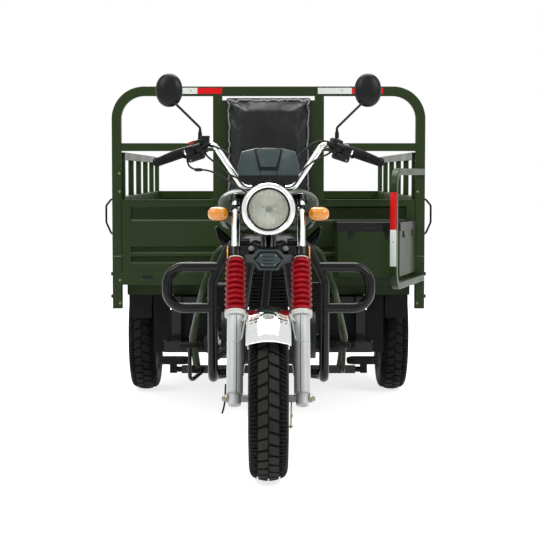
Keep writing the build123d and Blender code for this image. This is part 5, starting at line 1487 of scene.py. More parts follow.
# ---------------------------------------------------------------- cushions
def swell(made, held, cap, pressure=4.0, voxel=0.006):
    """Blows a cushion up like stuffed cloth, with some points held and the swell capped."""
    grid = made.modifiers.new("grid", "REMESH")
    grid.mode = "VOXEL"
    grid.voxel_size = voxel
    made = settle(made)
    start = [vert.co.copy() for vert in made.data.vertices]
    group = made.vertex_groups.new(name="held")
    group.add([i for i, place in enumerate(start) if held(place)], 1.0, "REPLACE")
    cloth = made.modifiers.new("cloth", "CLOTH")
    cloth.settings.use_pressure = True
    cloth.settings.uniform_pressure_force = pressure
    cloth.settings.effector_weights.gravity = 0
    cloth.settings.vertex_group_mass = "held"
    cloth.point_cache.frame_start = 1
    cloth.point_cache.frame_end = 20
    for step in range(1, 21):
        bpy.context.scene.frame_set(step)
    made = settle(made)
    made.vertex_groups.clear()
    for vert, place in zip(made.data.vertices, start):
        shift = vert.co - place
        if shift.length > cap:
            vert.co = place + shift * (cap / shift.length)
    bpy.context.scene.frame_set(1)
    finer = made.modifiers.new("finer", "SUBSURF")
    finer.levels = finer.render_levels = 1
    return smooth(settle(made), 180)


def rounded_loop(half_a, half_b, corner, spacing=0.006):
    """Points round a rectangle with rounded corners, about the origin."""
    loop = []
    for number, (a, b) in enumerate(((1, 1), (-1, 1), (-1, -1), (1, -1))):
        for step in range(9):
            turn = pi / 2 * (number + step / 8)
            loop.append((a * (half_a - corner) + corner * cos(turn),
                         b * (half_b - corner) + corner * sin(turn)))
    fine = []
    for here, after in zip(loop, loop[1:] + loop[:1]):
        long = sqrt((after[0] - here[0]) ** 2 + (after[1] - here[1]) ** 2)
        parts = max(1, ceil(long / spacing))
        fine += [(here[0] + (after[0] - here[0]) * k / parts, here[1] + (after[1] - here[1]) * k / parts)
                 for k in range(parts)]
    return fine


def welt(name, made, loop, radius, finish, body, sink=0.3):
    """A round cord laid on a cushion along a loop of places."""
    laid = []
    for place in loop:
        _, spot, normal, _ = made.closest_point_on_mesh(place)
        laid.append(spot + normal * radius * (1 - sink))
    return wear(smooth(hoop(name, laid, radius), 60), finish, body)


def pinch(made, loop, reach, depth, inward):
    """Draws a cushion in along a seam."""
    points = np.array([list(place) for place in loop])
    for vert in made.data.vertices:
        gap = np.sqrt(((points - np.array(vert.co)) ** 2).sum(axis=1)).min()
        if gap < 3 * reach:
            vert.co += inward(vert.co) * depth * np.exp(-((gap / reach) ** 2))


def build_seat():
    """A stuffed bench seat with a flat base, cross seams and a welt."""
    low, high = span("rider_seat")
    middle = (low + high) / 2
    start = slab("seat_cushion", low + Vector((0.008, 0.010, 0)), high - Vector((0.008, 0.006, 0.012)), 0.036,
                 6)
    seat = swell(start, lambda place: place.z < low.z + 0.012, 0.022)
    floor_z, wall_y = low.z + 0.0003, high.y - 0.0005
    for vert in seat.data.vertices:
        vert.co.z = max(vert.co.z, floor_z)
        vert.co.y = min(vert.co.y, wall_y)
        vert.co.x = max(low.x - 0.004, min(high.x + 0.004, vert.co.x))
        if vert.co.z > middle.z:
            share = (vert.co.y - low.y) / (high.y - low.y)
            for seam in (0.24, 0.42, 0.60, 0.78):
                gap = abs(share - seam) * (high.y - low.y)
                inset = (high.x - abs(vert.co.x)) / 0.04 + 0.1
                vert.co.z -= 0.007 * np.exp(-((gap / 0.006) ** 2)) * min(1.0, inset)
    half_x, half_y = (high.x - low.x) / 2 - 0.004, (high.y - low.y) / 2 - 0.008
    loop = [Vector((middle.x + a, middle.y + b, high.z - 0.020))
            for a, b in rounded_loop(half_x, half_y, 0.05)]
    pinch(seat, loop, 0.008, 0.004, lambda place: (Vector((0, middle.y, middle.z)) - place).normalized())
    wear(seat, "seat_vinyl", "chassis")
    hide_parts("rider_seat")
    welt("seat_welt", seat, loop, bpy.context.scene.tricycle_sizes.piping / 2, "piping", "chassis")


def gather(along, depth):
    """Height of the folds that run in from a seam, from 0 to about 1."""
    total = 0.0
    for pitch, phase, lean, weight in ((0.061, 0.4, 0.35, 0.5), (0.043, 1.9, -0.5, 0.35),
                                       (0.087, 3.1, 0.2, 0.45),
                                       (0.027, 5.2, 0.1, 0.16)):
        wave = 0.5 + 0.5 * cos(2 * pi * (along + lean * depth) / pitch + phase)
        total += weight * wave**2.2
    return total / 1.46


def build_backrest():
    """A tall stuffed backrest with gathered edges and a pale welt."""
    low, high = span("backrest")
    middle = (low + high) / 2
    start = slab("backrest_cushion", low + Vector((-0.001, 0.014, 0.003)), high - Vector((-0.001, 0, -0.002)),
                 0.018, 4)
    cushion = swell(start, lambda place: place.y > high.y - 0.014, 0.022)
    half_x, half_z = (high.x - low.x) / 2 + 0.003, (high.z - low.z) / 2 + 0.004
    for vert in cushion.data.vertices:
        place = vert.co
        place.x = max(middle.x - half_x - 0.002, min(middle.x + half_x + 0.002, place.x))
        place.z = max(middle.z - half_z - 0.001, min(middle.z + half_z + 0.001, place.z))
        place.y = min(max(place.y, low.y - 0.009), high.y - 0.0003)
        if place.y < middle.y:
            x, z = place.x - middle.x, place.z - middle.z
            side_gap, end_gap = half_x - abs(x), half_z - abs(z)
            lift = 0.0
            for gap, along, most in ((end_gap, x, 0.0062), (side_gap, z, 0.0042)):
                if gap > 0.004:
                    lift += most * gather(along, gap) * np.exp(-gap / 0.085) * min(1.0, (gap - 0.004) / 0.016)
            sag = 0.0035 * sin(x * 31 + 1.3 + z * 9) * sin(z * 23 + 0.6 - x * 7)
            place.y += 0.004 - lift + sag * min(1.0, max(0.0, min(side_gap, end_gap)) / 0.05)
    loop = [Vector((middle.x + a, low.y + 0.010, middle.z + b))
            for a, b in rounded_loop(half_x, half_z, 0.02)]
    pinch(cushion, loop, 0.006, 0.003, lambda place: (Vector((0, middle.y, place.z)) - place).normalized())
    wear(cushion, "seat_vinyl", "chassis")
    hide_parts("backrest")
    welt("backrest_welt", cushion, loop, bpy.context.scene.tricycle_sizes.piping / 2, "piping", "chassis")


# ---------------------------------------------------------------- body trim
def strip(name, low, high, finish, body="chassis", bevel=0.0002):
    """A thin applied strip."""
    made = slab(name, low, high, bevel, 1)
    return wear(made, finish, body)


def build_tape(width):
    """Reflective strips on the arch and the guard, with their screws."""
    low, high = span("headboard")
    front, level = low.y, high.z - 0.0195
    for word, start, end, finish in (
        ("right_white", -0.451, -0.307, "tape_white"), ("right_red", -0.3066, -0.201, "tape_red"),
        ("left_white", 0.213, 0.360, "tape_white"), ("left_red", 0.3604, 0.495, "tape_red"),
    ):
        strip(f"tape_{word}", (start, front - 0.0009, level - width / 2),
              (end, front + 0.0001, level + width / 2),
              finish)
    spots = [(Vector((x, front - 0.0008, level)), (0, -1, 0)) for x in (0.318, -0.335)]
    bolts("tape_screws", spots, "bolt_steel", "chassis", 0.0022, 0.0008)
    outward = Vector((-0.2914, -0.9566, 0))
    foot = Vector((0.500, behind(1329.5 - 538.3), 0)) + outward * 0.0145
    hint = Vector((0.9566, -0.2914, 0))
    for word, bottom, top, finish in (("red", 0.841, 0.989, "tape_red"),
                                      ("white", 0.695, 0.8405, "tape_white")):
        made = beam(f"tape_guard_{word}", foot + Vector((0, 0, bottom)), foot + Vector((0, 0, top)), width,
                    0.0009,
                    hint, 0.0002)
        wear(made, finish, "chassis")
    bolts("tape_guard_screws", [(foot + outward * 0.0005 + Vector((0, 0, 0.792)), outward)], "bolt_steel",
          "chassis", 0.0022, 0.0008)


def build_headboard_trim():
    """Pressed channels, weld lines, hinge plates and bolts on the headboard."""
    low, high = span("headboard")
    face = behind(1350) - 0.015
    for number, (bottom, top) in enumerate(((0.674, 0.706), (0.718, 0.748), (0.858, 0.921))):
        lip = 0.0075
        pieces = []
        for edge, way in ((bottom, 1), (top, -1)):
            outline = [(0.0005, edge - way * 0.001), (0.0082, edge + way * lip), (0.0090, edge - way * 0.001)]
            rings = [[Vector((x, face + y, z)) for y, z in outline] for x in (-0.598, 0.598)]
            pieces.append(loft("slope", rings, True, 20))
        wear(join(f"channel_slopes_{number}", *pieces), "body_green", "chassis")
        # The channel floors take the darkened body paint: painted shade in the recesses.
        seat_front = face + 0.0078
        strip(f"channel_floor_{number}", (-0.598, seat_front, bottom), (0.598, face + 0.0088, top),
              "shadow_green",
              bevel=0.0)
    strip("panel_cap", (-0.636, face - 0.0022, 0.9455), (0.636, face + 0.016, 0.9512), "body_green",
          bevel=0.0015)
    for side, word in SIDES:
        post = side * (high.x - 0.0205)
        seam = slab(f"weld_{word}", (post - 0.0209, low.y - 0.0006, 0.7035),
                    (post + 0.0209, low.y + 0.012, 0.7065),
                    0.0012, 3)
        wear(seam, "weld_green", "chassis")
        # Thin black strips at the joints of posts and panel: painted shade in the gaps.
        strip(f"post_gap_shade_{word}", (min(side * 0.6375, side * 0.6345), low.y + 0.006, 0.64),
              (max(side * 0.6375, side * 0.6345), low.y + 0.014, 0.95), "dial_black", bevel=0.0)
    spots = [(Vector((side * (high.x - 0.001), behind(1350), z)),
              (side, 0, 0)) for side in (-1, 1) for z in (0.627, 0.529)]
    bolts("post_side_bolts", spots, "frame_black", "chassis", 0.0085, 0.009)
    spots = [(Vector((side * 0.6465, low.y, z)), (0, -1, 0)) for side in (-1, 1) for z in (1.064, 0.985, 0.60,
                                                                                           0.50)]
    spots += [(Vector((x, low.y, 0.603)), (0, -1, 0)) for x in (-0.42, -0.24, 0.24)]
    bolts("headboard_bolts", spots, "weld_green", "chassis", 0.0042, 0.0026)
    hinge = slab("sill_plate", (-0.556, low.y - 0.0035, 0.598), (-0.503, low.y + 0.001, 0.632), 0.0012, 2)
    wear(hinge, "body_green", "chassis")
    # A black strip on the sill plate: painted shade where its slot is.
    strip("sill_slot_shade", (-0.548, low.y - 0.0042, 0.606), (-0.511, low.y - 0.003, 0.622), "dial_black",
          bevel=0.0)
    for side, word in SIDES:
        collar = slab(f"post_foot_{word}", (side * 0.222 - 0.028, low.y - 0.0012, 0.948),
                      (side * 0.222 + 0.028, low.y + 0.012, 0.954), 0.001, 2)
        wear(collar, "body_green", "chassis")


def build_box_trim():
    """Lid catches, a lid pull and rivets on the tool box."""
    low, lid_low = span("tool_box")[0], span("tool_box_lid")[0]
    catches = []
    for x in (0.34, 0.49):
        catches += [
            slab("catch", (x - 0.010, low.y - 0.0035, 0.804), (x + 0.010, low.y + 0.001, 0.826), 0.0015, 2),
            slab("catch", (x - 0.006, low.y - 0.0060, 0.796), (x + 0.006, low.y - 0.002, 0.808), 0.0015, 2),
        ]
    slope = Vector((0.105, 0.344, 0)).normalized()
    normal = Vector((0.344, -0.105, 0)).normalized()
    for share in (0.22, 0.72):
        at = Vector((0.540, low.y, 0.815)) + slope * share * 0.36 + normal * 0.0015
        catches.append(beam("catch", at - Vector((0, 0, 0.012)), at + Vector((0, 0, 0.010)), 0.018, 0.005,
                            slope, 0.0015))
        at = at + normal * 0.003
        catches.append(beam("catch", at - Vector((0, 0, 0.018)), at - Vector((0, 0, 0.006)), 0.011, 0.004,
                            slope, 0.0012))
    wear(join("tool_box_catches", *catches), "frame_black", "chassis")
    handle = strand("lid_pull",
                    [(Vector((x, lid_low.y - 0.004 * (1 if abs(x - 0.415) < 0.02 else 0.2), 0.838)), 3.2, 3.2)
                                 for x in (0.385, 0.390, 0.400, 0.415, 0.430, 0.440, 0.445)], (0, 0, 1), 12)
    wear(handle, "lid_black", "tool_box_lid")
    spots = [(Vector((x, low.y + 0.0002, z)), (0, -1, 0)) for x in (0.297, 0.528) for z in (0.655, 0.79)]
    bolts("tool_box_rivets", spots, "body_green", "chassis", 0.0036, 0.0016)


def build_engine_trim():
    """Fins, side covers, plug, flange and bolts round the engine block."""
    high = span("engine")[1]
    y = behind(780)
    fin = slab("engine_fin", (-0.078, y - 0.134, 0.5180), (0.078, y + 0.044, 0.5206), 0.0009, 2)
    fins = run_tree(fin, "row", count=13, step=(0.0, 0.0, 0.0128), finish=coat("engine_black"))
    fins.name = "engine_fins"
    wear(smooth(fins, 30), "engine_black", "chassis")
    head = slab("engine_head", (-0.062, y - 0.124, 0.690), (0.062, y + 0.034, 0.7375), 0.012, 4)
    wear(head, "case_grey", "chassis")
    for side, word in SIDES:
        at = Vector((side * (high.x - 0.0005), y + 0.030, 0.418))
        cover = [(0, 14), (44, 14), (50, 12), (54, 6), (78, 4), (88, 1), (93, -6), (93.5, -30), (0, -30)]
        cover = [(r, a - 13.5) for r, a in cover]
        turned(f"engine_cover_{word}", cover, at, (side, 0, 0), "case_grey", "chassis", 72)
        spots = []
        for step in range(7):
            turn = 2 * pi * step / 7 + 0.3
            spots.append((at + Vector((side * -0.0085, 0.084 * cos(turn), 0.084 * sin(turn))), (side, 0, 0)))
        bolts(f"cover_bolts_{word}", spots, "bolt_steel", "chassis", 0.0052, 0.005)
    spots = [(Vector((side * 0.050, y - 0.128, z)), (0, -1, 0)) for side in (-1, 1) for z in (0.36, 0.47)]
    spots += [(Vector((side * 0.048, y - 0.1242, 0.724)), (0, -1, 0)) for side in (-1, 1)]
    bolts("engine_front_bolts", spots, "bolt_steel", "chassis", 0.006, 0.005)
    plug = [(0, 0), (9, 0), (9, 10), (6, 14), (6, 32), (9, 34), (9, 52), (6, 56), (0, 56)]
    turned("spark_plug_cap", plug, Vector((-0.060, y - 0.045, 0.712)), (-0.85, -0.1, 0.5), "control_black",
           "chassis", 24)
    flange = [(16.4, -2), (30, -2), (31, 0), (31, 6), (29, 8), (20, 9), (16.4, 9)]
    turned("exhaust_flange", flange, Vector((0, y - 0.1215, 0.712)), (0, -1, 0), "bolt_steel", "chassis", 40)
    kick = strand("kick_lever",
                  [(Vector((-0.196, y + 0.10, 0.372)), 8, 7), (Vector((-0.206, y + 0.13, 0.40)), 8, 6),
                                 (Vector((-0.214, y + 0.19, 0.50)), 8, 6),
                                 (Vector((-0.214, y + 0.215, 0.545)), 9, 8),
                                 (Vector((-0.214, y + 0.221, 0.556)), 4, 4)], (0, 1, 0), 14)
    wear(kick, "bolt_steel", "chassis")
    wear(bar("kick_pedal", [Vector((-0.205, y + 0.212, 0.540)), Vector((-0.262, y + 0.214, 0.546))], 0.009),
         "grip_rubber", "chassis")
    turned("kick_boss", [(0, -22), (17, -22), (18, -4), (15, 4), (0, 5)], Vector((-0.200, y + 0.100, 0.372)),
           (-1, 0, 0),
           "bolt_steel", "chassis", 32)


def build_exhaust_trim():
    """End cap and straps of the silencer."""
    low, high = span("exhaust")
    axis = Vector((low.x + 0.046, high.y, 0.350))
    tail = [(0, -6), (44, -6), (46.4, -3), (46.4, 0), (42, 3.4), (20, 8), (15, 9), (15, 26), (12.6, 26),
            (12.6, 10), (0, 10)]
    turned("silencer_cap", tail, axis, (0, 1, 0), "exhaust_steel", "chassis", 56)
    for number, back in enumerate((0.030, 0.128)):
        band = [(45.6, -9), (47.8, -9), (48.2, 0), (47.8, 9), (45.6, 9)]
        turned(f"silencer_strap_{number}", band, axis - Vector((0, back, 0)), (0, 1, 0), "frame_black",
               "chassis", 56)


def build_rests():
    """Ribbed footrest rubbers and pedal pads."""
    low, high = span("footrests")
    y = (low.y + high.y) / 2
    for side, word in SIDES:
        rim = []
        for share, level in ((1.0, high.z - 0.022), (1.03, high.z - 0.018), (1.03, high.z - 0.004),
                             (1.0, high.z),
                             (0.96, high.z + 0.0008), (0.95, high.z - 0.003)):
            ring = []
            for a, b in rounded_loop(0.067, 0.037, 0.0365, 0.02):
                ring.append(Vector((side * 0.386 + a * share, y + b * (1 + (share - 1) * 1.6), level)))
            rim.append(ring)
        wear(loft(f"footrest_rubber_{word}", rim, True, 40), "grip_rubber", "chassis")
        rib = slab(f"footrest_rib_{word}", (side * 0.386 - 0.050, y - 0.030, high.z - 0.001),
                   (side * 0.386 - 0.0468, y + 0.030, high.z + 0.0042), 0.0012, 2)
        ribs = run_tree(rib, "row", count=13, step=(0.0081, 0.0, 0.0), finish=coat("grip_rubber"))
        wear(smooth(ribs, 30), "grip_rubber", "chassis")
        tread = slab(f"rest_lip_{word}", (side * 0.386 - 0.060, y - 0.0385, high.z - 0.014),
                     (side * 0.386 - 0.0576, y - 0.0365, high.z - 0.004), 0.0008, 2)
        tread = run_tree(tread, "row", count=24, step=(0.0051, 0.0, 0.0), finish=coat("grip_rubber"))
        wear(smooth(tread, 30), "grip_rubber", "chassis")
    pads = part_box("foot_pedals")
    for word, start, end, front, back in (("brake", -0.350, -0.284, 702, 738),
                                          ("gear", 0.266, 0.324, 724, 760)):
        rubber_pad = slab(f"{word}_pad", (start - 0.002, behind(front) - 0.002, pads[1][2] - 0.014),
                          (end + 0.002, behind(back) + 0.002, pads[1][2] + 0.003), 0.005, 3)
        wear(rubber_pad, "grip_rubber", "chassis")
        rib = slab(f"{word}_rib", (start + 0.004, behind(front) + 0.002, pads[1][2] + 0.002),
                   (start + 0.0068, behind(back) - 0.002, pads[1][2] + 0.0052), 0.001, 2)
        count = int((end - start - 0.006) / 0.007)
        ribs = run_tree(rib, "row", count=count, step=(0.007, 0.0, 0.0), finish=coat("grip_rubber"))
        wear(smooth(ribs, 30), "grip_rubber", "chassis")


def build_tail():
    """Three-colour tail lamps in black housings, and the blank plate in its frame."""
    low, high = span("tail_lights")
    first = None
    for side, word in SIDES:
        inner, outer = 0.300, 0.440
        shell = slab(f"tail_lamp_body_{word}", (min(side * inner, side * outer), low.y, low.z),
                     (max(side * inner, side * outer), high.y - 0.012, high.z), 0.006, 3)
        wear(shell, "control_black", "chassis")
        first = first or shell
        for part, start, end, colour in (("brake", 0.304, 0.352, "red_lens"),
                                         ("reverse", 0.353, 0.386, "lamp_white"),
                                         ("signal", 0.387, 0.436, "amber")):
            lens = slab(f"tail_{part}_{word}", (min(side * start, side * end), high.y - 0.016, low.z + 0.004),
                        (max(side * start, side * end), high.y - 0.0005, high.z - 0.004), 0.004, 3)
            wear(lens, colour, "chassis")
    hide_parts("tail_lights")
    back = behind(1350 + 2100 - 64)
    rim = [
        slab("rim", (-0.111, back - 0.001, 0.5675), (0.111, back + 0.003, 0.573), 0.001, 2),
        slab("rim", (-0.111, back - 0.001, 0.4515), (0.111, back + 0.003, 0.456), 0.001, 2),
        slab("rim", (-0.111, back - 0.001, 0.4515), (-0.1065, back + 0.003, 0.573), 0.001, 2),
        slab("rim", (0.1065, back - 0.001, 0.4515), (0.111, back + 0.003, 0.573), 0.001, 2),
    ]
    wear(join("plate_rim", *rim), "dial_black", "chassis")


def build_wheel_trim():
    """Nuts and valves on the wheels."""
    for node, body, sides in (("front_rim", "front_wheel", (-1, 1)),
                              ("rear_rim_left", "rear_wheel_left", (1,)),
                              ("rear_rim_right", "rear_wheel_right", (-1,))):
        low, high = span(node)
        centre = (low + high) / 2
        spots = []
        for side in sides:
            for step in range(5):
                turn = 2 * pi * step / 5 + 0.4
                face = 0.018 if node == "front_rim" else 0.030
                spots.append((Vector((centre.x + side * face, centre.y + 0.052 * cos(turn),
                                      centre.z + 0.052 * sin(turn))),
                              (side, 0, 0)))
        bolts(f"{node}_nuts", spots, "bolt_steel", body, 0.0085, 0.012)
        side = sides[-1]
        start = Vector((centre.x + side * 0.022, centre.y, centre.z + 0.132))
        turned(f"{node}_valve", [(0, 0), (3.4, 0), (3.4, 18), (4.4, 19), (4.4, 27), (2, 28), (0, 28)], start,
               (side * 0.75, 0, -0.55), "control_black", body, 20)


def build_running_gear():
    """U-bolts and clamp plates of the rear springs."""
    rear_y = behind(2200)
    pieces = []
    for side in (-1, 1):
        x = side * 0.400
        for end in (-1, 1):
            y = rear_y + end * 0.045
            loop = [Vector((x - 0.046, y, 0.268)), Vector((x - 0.046, y, 0.372)),
                    Vector((x - 0.046, y, 0.383)),
                    Vector((x, y, 0.383)), Vector((x + 0.046, y, 0.383)), Vector((x + 0.046, y, 0.372)),
                    Vector((x + 0.046, y, 0.268))]
            pieces.append(bar("u_bolt", loop, 0.0055, 6, 3))
        pieces.append(slab("clamp", (x - 0.056, rear_y - 0.062, 0.262), (x + 0.056, rear_y + 0.062, 0.272),
                           0.002, 2))
    wear(smooth(join("spring_u_bolts", *pieces), 40), "bolt_steel", "chassis")


def build_bed_trim():
    """Lengthwise ribs on the deck, and hinge screws on the side gates."""
    low, high = span("cargo_floor")
    rib = slab("deck_rib", (-0.560, low.y + 0.03, high.z - 0.001), (-0.545, high.y - 0.07, high.z + 0.0025),
               0.0012, 2)
    ribs = run_tree(rib, "row", count=9, step=(0.139, 0.0, 0.0), finish=coat("deck_green"))
    wear(smooth(ribs, 30), "deck_green", "chassis")
    for word in ("left", "right"):
        gate_low, gate_high = span(f"side_gate_{word}")
        side = 1 if word == "left" else -1
        spots = []
        for place in (gate_low.y + 0.16, (gate_low.y + gate_high.y) / 2, gate_high.y - 0.16):
            for shift in (-0.022, 0.022):
                spots.append((Vector((side * 0.668, place + shift, 0.672)), (side, 0, 0)))
        bolts(f"gate_hinge_screws_{word}", spots, "weld_green", f"side_gate_{word}", 0.005, 0.003)


def build_box_labels():
    """A strap round the battery, and the cover and screws of the air filter."""
    low, high = span("battery_box")
    strap = slab("battery_strap", (low.x + 0.006, (low.y + high.y) / 2 - 0.010, low.z - 0.001),
                 (high.x + 0.0015, (low.y + high.y) / 2 + 0.010, high.z + 0.0015), 0.001, 2)
    wear(strap, "frame_black", "chassis")
    low, high = span("air_filter_box")
    cover = slab("filter_cover", (low.x - 0.002, low.y + 0.012, low.z + 0.012),
                 (low.x + 0.006, high.y - 0.012, high.z - 0.012), 0.003, 3)
    wear(cover, "panel_black", "chassis")
    spots = [(Vector((low.x - 0.002, y, z)), (-1, 0, 0)) for y in (low.y + 0.024, high.y - 0.024)
             for z in (low.z + 0.024, high.z - 0.024)]
    bolts("filter_screws", spots, "bolt_steel", "chassis", 0.004, 0.0025)


# ---------------------------------------------------------------- paintwork of the frame's own nodes
PAINTWORK = {
    "frame_black": (
        "chassis_frame", "rear_frame", "crash_bar", "rear_axle", "leaf_springs", "fork_yokes",
        "gate_latch_left",
        "gate_latch_right", "foot_pedals",
    ),
    "body_green": (
        "frame_side_hoops", "headboard", "tool_box", "tool_box_guard", "side_gate_left", "side_gate_right",
        "side_fence_left", "side_fence_right", "tailgate",
    ),
    "deck_green": ("cargo_floor",),
    "lid_black": ("tool_box_lid",),
    "engine_black": ("engine",),
    "exhaust_steel": ("exhaust",),
    "tank_green": ("fuel_tank",),
    "panel_black": ("knee_panels", "battery_box", "air_filter_box"),
    "seat_vinyl": ("rider_seat", "backrest"),
    "grip_rubber": ("footrests", "hand_grips"),
    # The black mud apron is a rubber sheet under the bed's front, and it also stands in for the shade there:
    # partly painted shade.
    "flap_rubber": ("mud_flaps", "mud_apron"),
    "red_lens": ("tail_lights",),
    "plate_white": ("number_plate",),
    "chrome": ("fork_tubes", "front_mudguard", "handlebar"),
    "silver_paint": ("fork_sliders",),
    "bellows_red": ("fork_bellows",),
    "bolt_steel": ("front_axle",),
    "control_black": ("hand_controls", "mirrors", "headlight"),
    "lens_clear": ("headlight_lens",),
    "amber": ("turn_signals",),
    "cowl_grey": ("instrument_cowl", "horn_cover"),
    "cable_black": ("control_cables",),
    "tyre": ("front_tyre",),
    "rear_tyre": ("rear_tyre_left", "rear_tyre_right"),
    "rim_paint": ("front_rim", "rear_rim_left", "rear_rim_right"),
}


def paint_nodes():
    """Gives every node of the frame its finish."""
    for finish_name, nodes in PAINTWORK.items():
        for node in nodes:
            wear(NODES[node], finish_name)


# ---------------------------------------------------------------- stage
def rays_that_see(tree):
    """A mask that is 1 for camera, mirror and glass rays."""
    path = add_node(tree, "ShaderNodeLightPath")
    seen = path["Is Camera Ray"]
    for ray in ("Is Glossy Ray", "Is Transmission Ray"):
        seen = add_node(tree, "ShaderNodeMath", {0: seen, 1: path[ray]}, operation="ADD", use_clamp=True)[0]
    return seen


def build_stage(lens, fill):
    """A plain pale floor, soft lamps, a white surround and the camera."""
    scene = bpy.context.scene
    floor = add_object("floor", bpy.data.meshes.new("floor"))
    floor.data.from_pydata([(-30, -30, 0), (30, -30, 0), (30, 30, 0), (-30, 30, 0)], [], [(0, 1, 2, 3)])
    pale = bpy.data.materials.new("pale_floor")
    pale.use_nodes = True
    tree = pale.node_tree
    shader = tree.nodes["Principled BSDF"].inputs
    for socket, value in (("Base Color", (0.82, 0.82, 0.82, 1)), ("Roughness", 0.9),
                          ("Specular IOR Level", 0.1),
                          ("Emission Color", (1, 1, 1, 1))):
        shader[socket].default_value = value
    lift = add_node(tree, "ShaderNodeMath", {0: rays_that_see(tree), 1: 0.76}, operation="MULTIPLY")
    tree.links.new(lift[0], shader["Emission Strength"])
    floor.data.materials.append(pale)
    world = bpy.data.worlds.new("studio")
    scene.world = world
    world.use_nodes = True
    tree = world.node_tree
    ground = tree.nodes["Background"]
    ground.inputs["Color"].default_value = (1, 1, 1, 1)
    level = add_node(tree, "ShaderNodeMapRange",
                     {"Value": rays_that_see(tree), "To Min": fill, "To Max": 1.0})
    tree.links.new(level["Result"], ground.inputs["Strength"])
    for name, place, size, power in (
        ("key_lamp", (-3.0, -3.8, 4.4), 2.6, 105),
        ("side_lamp", (3.4, -3.6, 3.8), 2.6, 105),
        ("top_lamp", (0, 0.2, 4.6), 3.0, 190),
        ("back_lamp", (-1.5, 5.0, 4.2), 2.8, 120),
    ):
        light = bpy.data.lights.new(name, "AREA")
        light.energy = power
        light.size = size
        lamp = bpy.data.objects.new(name, light)
        scene.collection.objects.link(lamp)
        lamp.location = place
        aim = Vector((0, -0.2, 0.8)) - lamp.location
        lamp.rotation_euler = aim.to_track_quat("-Z", "Y").to_euler()
    view = bpy.data.cameras.new("camera")
    view.lens = lens
    view.sensor_width = 36.0
    view.shift_x = 0.0028
    camera = bpy.data.objects.new("camera", view)
    scene.collection.objects.link(camera)
    camera.location = (0.0, -6.708, 1.066)
    camera.rotation_euler = (radians(86.26), 0, 0)
    scene.camera = camera
    scene.view_settings.view_transform = "Standard"


# ---------------------------------------------------------------- the add-on
def colour_choice(name, description, default):
    """A colour that the user can change."""
    return bpy.props.FloatVectorProperty(
        name=name, description=description, default=default, size=3, min=0, max=1, subtype="COLOR_GAMMA"
    )


class TricyclePaint(bpy.types.PropertyGroup):
    """Colours of the vehicle, as they look on a display."""

    body: colour_choice("Body", "Paint on the bed, gates and tool box", (0.140, 0.206, 0.072))
    tank: colour_choice("Tank", "Gloss paint on the fuel tank", (0.130, 0.190, 0.075))
    fork: colour_choice("Fork", "Paint on the fork's lower legs", (0.860, 0.880, 0.870))
    bellows: colour_choice("Bellows", "Rubber boots on the fork", (0.560, 0.050, 0.100))
    amber: colour_choice("Signals", "Lenses of the turn signals", (1.000, 0.620, 0.040))
    cowl: colour_choice("Cowl", "Plastic of the cowl and horn cover", (0.240, 0.285, 0.290))
    tape_red: colour_choice("Red tape", "Red reflective tape", (0.880, 0.030, 0.060))


class TricycleSizes(bpy.types.PropertyGroup):
    """Counts and sizes of the detail pieces."""

    tread_blocks: bpy.props.IntProperty(
        name="Tread pitches", description="Tread patterns round each tyre", default=38, min=20, max=60
    )
    bellows_folds: bpy.props.IntProperty(
        name="Boot folds", description="Folds in each fork boot", default=10, min=4, max=16
    )
    guard_start: bpy.props.FloatProperty(
        name="Guard start", description="Angle of the front mudguard's front edge above level",
        default=radians(44.5), min=radians(20), max=radians(70), subtype="ANGLE",
    )
    guard_sweep: bpy.props.FloatProperty(
        name="Guard sweep", description="Angle that the front mudguard covers",
        default=radians(107.5), min=radians(60), max=radians(140), subtype="ANGLE",
    )
    piping: bpy.props.FloatProperty(
        name="Piping", description="Thickness of the welt round the cushions",
        default=0.0065, min=0.003, max=0.012, subtype="DISTANCE", unit="LENGTH",
    )
    tape_width: bpy.props.FloatProperty(
        name="Tape width", description="Width of the reflective tape",
        default=0.026, min=0.01, max=0.04, subtype="DISTANCE", unit="LENGTH",
    )
    lens: bpy.props.FloatProperty(
        name="Camera lens", description="Focal length of the camera", default=98.93, min=20, max=300,
        subtype="DISTANCE_CAMERA",
    )
    fill_light: bpy.props.FloatProperty(
        name="Fill light", description="Strength of the even light round the vehicle", default=0.32, min=0,
        max=2
    )


class TRICYCLE_OT_paintwork(bpy.types.Operator):
    """Finishes for every node of the frame"""

    bl_idname = "tricycle.paintwork"
    bl_label = "Paintwork"

    def execute(self, context):
        paint_nodes()
        return {"FINISHED"}


class TRICYCLE_OT_tyres(bpy.types.Operator):
    """Three tyres with block tread"""

    bl_idname = "tricycle.tyres"
    bl_label = "Tyres"

    def execute(self, context):
        blocks = context.scene.tricycle_sizes.tread_blocks
        build_tyre("front_tyre", "front_wheel", blocks)
        for side in ("left", "right"):
            build_tyre(f"rear_tyre_{side}", f"rear_wheel_{side}", blocks)
        return {"FINISHED"}


class TRICYCLE_OT_fork(bpy.types.Operator):
    """Rubber boots, plated mudguard and small fittings on the fork"""

    bl_idname = "tricycle.fork"
    bl_label = "Fork"

    def execute(self, context):
        sizes = context.scene.tricycle_sizes
        boots = [build_bellows(side, word, sizes.bellows_folds) for side, word in SIDES]
        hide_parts("fork_bellows")
        build_mudguard(degrees(sizes.guard_start), degrees(sizes.guard_sweep))
        return {"FINISHED"}


class TRICYCLE_OT_lamps(bpy.types.Operator):
    """Headlight and turn signals"""

    bl_idname = "tricycle.lamps"
    bl_label = "Lamps"

    def execute(self, context):
        build_headlight()
        build_signals()
        return {"FINISHED"}


class TRICYCLE_OT_cowl(bpy.types.Operator):
    """Instrument cowl with its dial, and the horn cover"""

    bl_idname = "tricycle.cowl"
    bl_label = "Cowl and horn"

    def execute(self, context):
        build_cowl()
        build_horn()
        return {"FINISHED"}


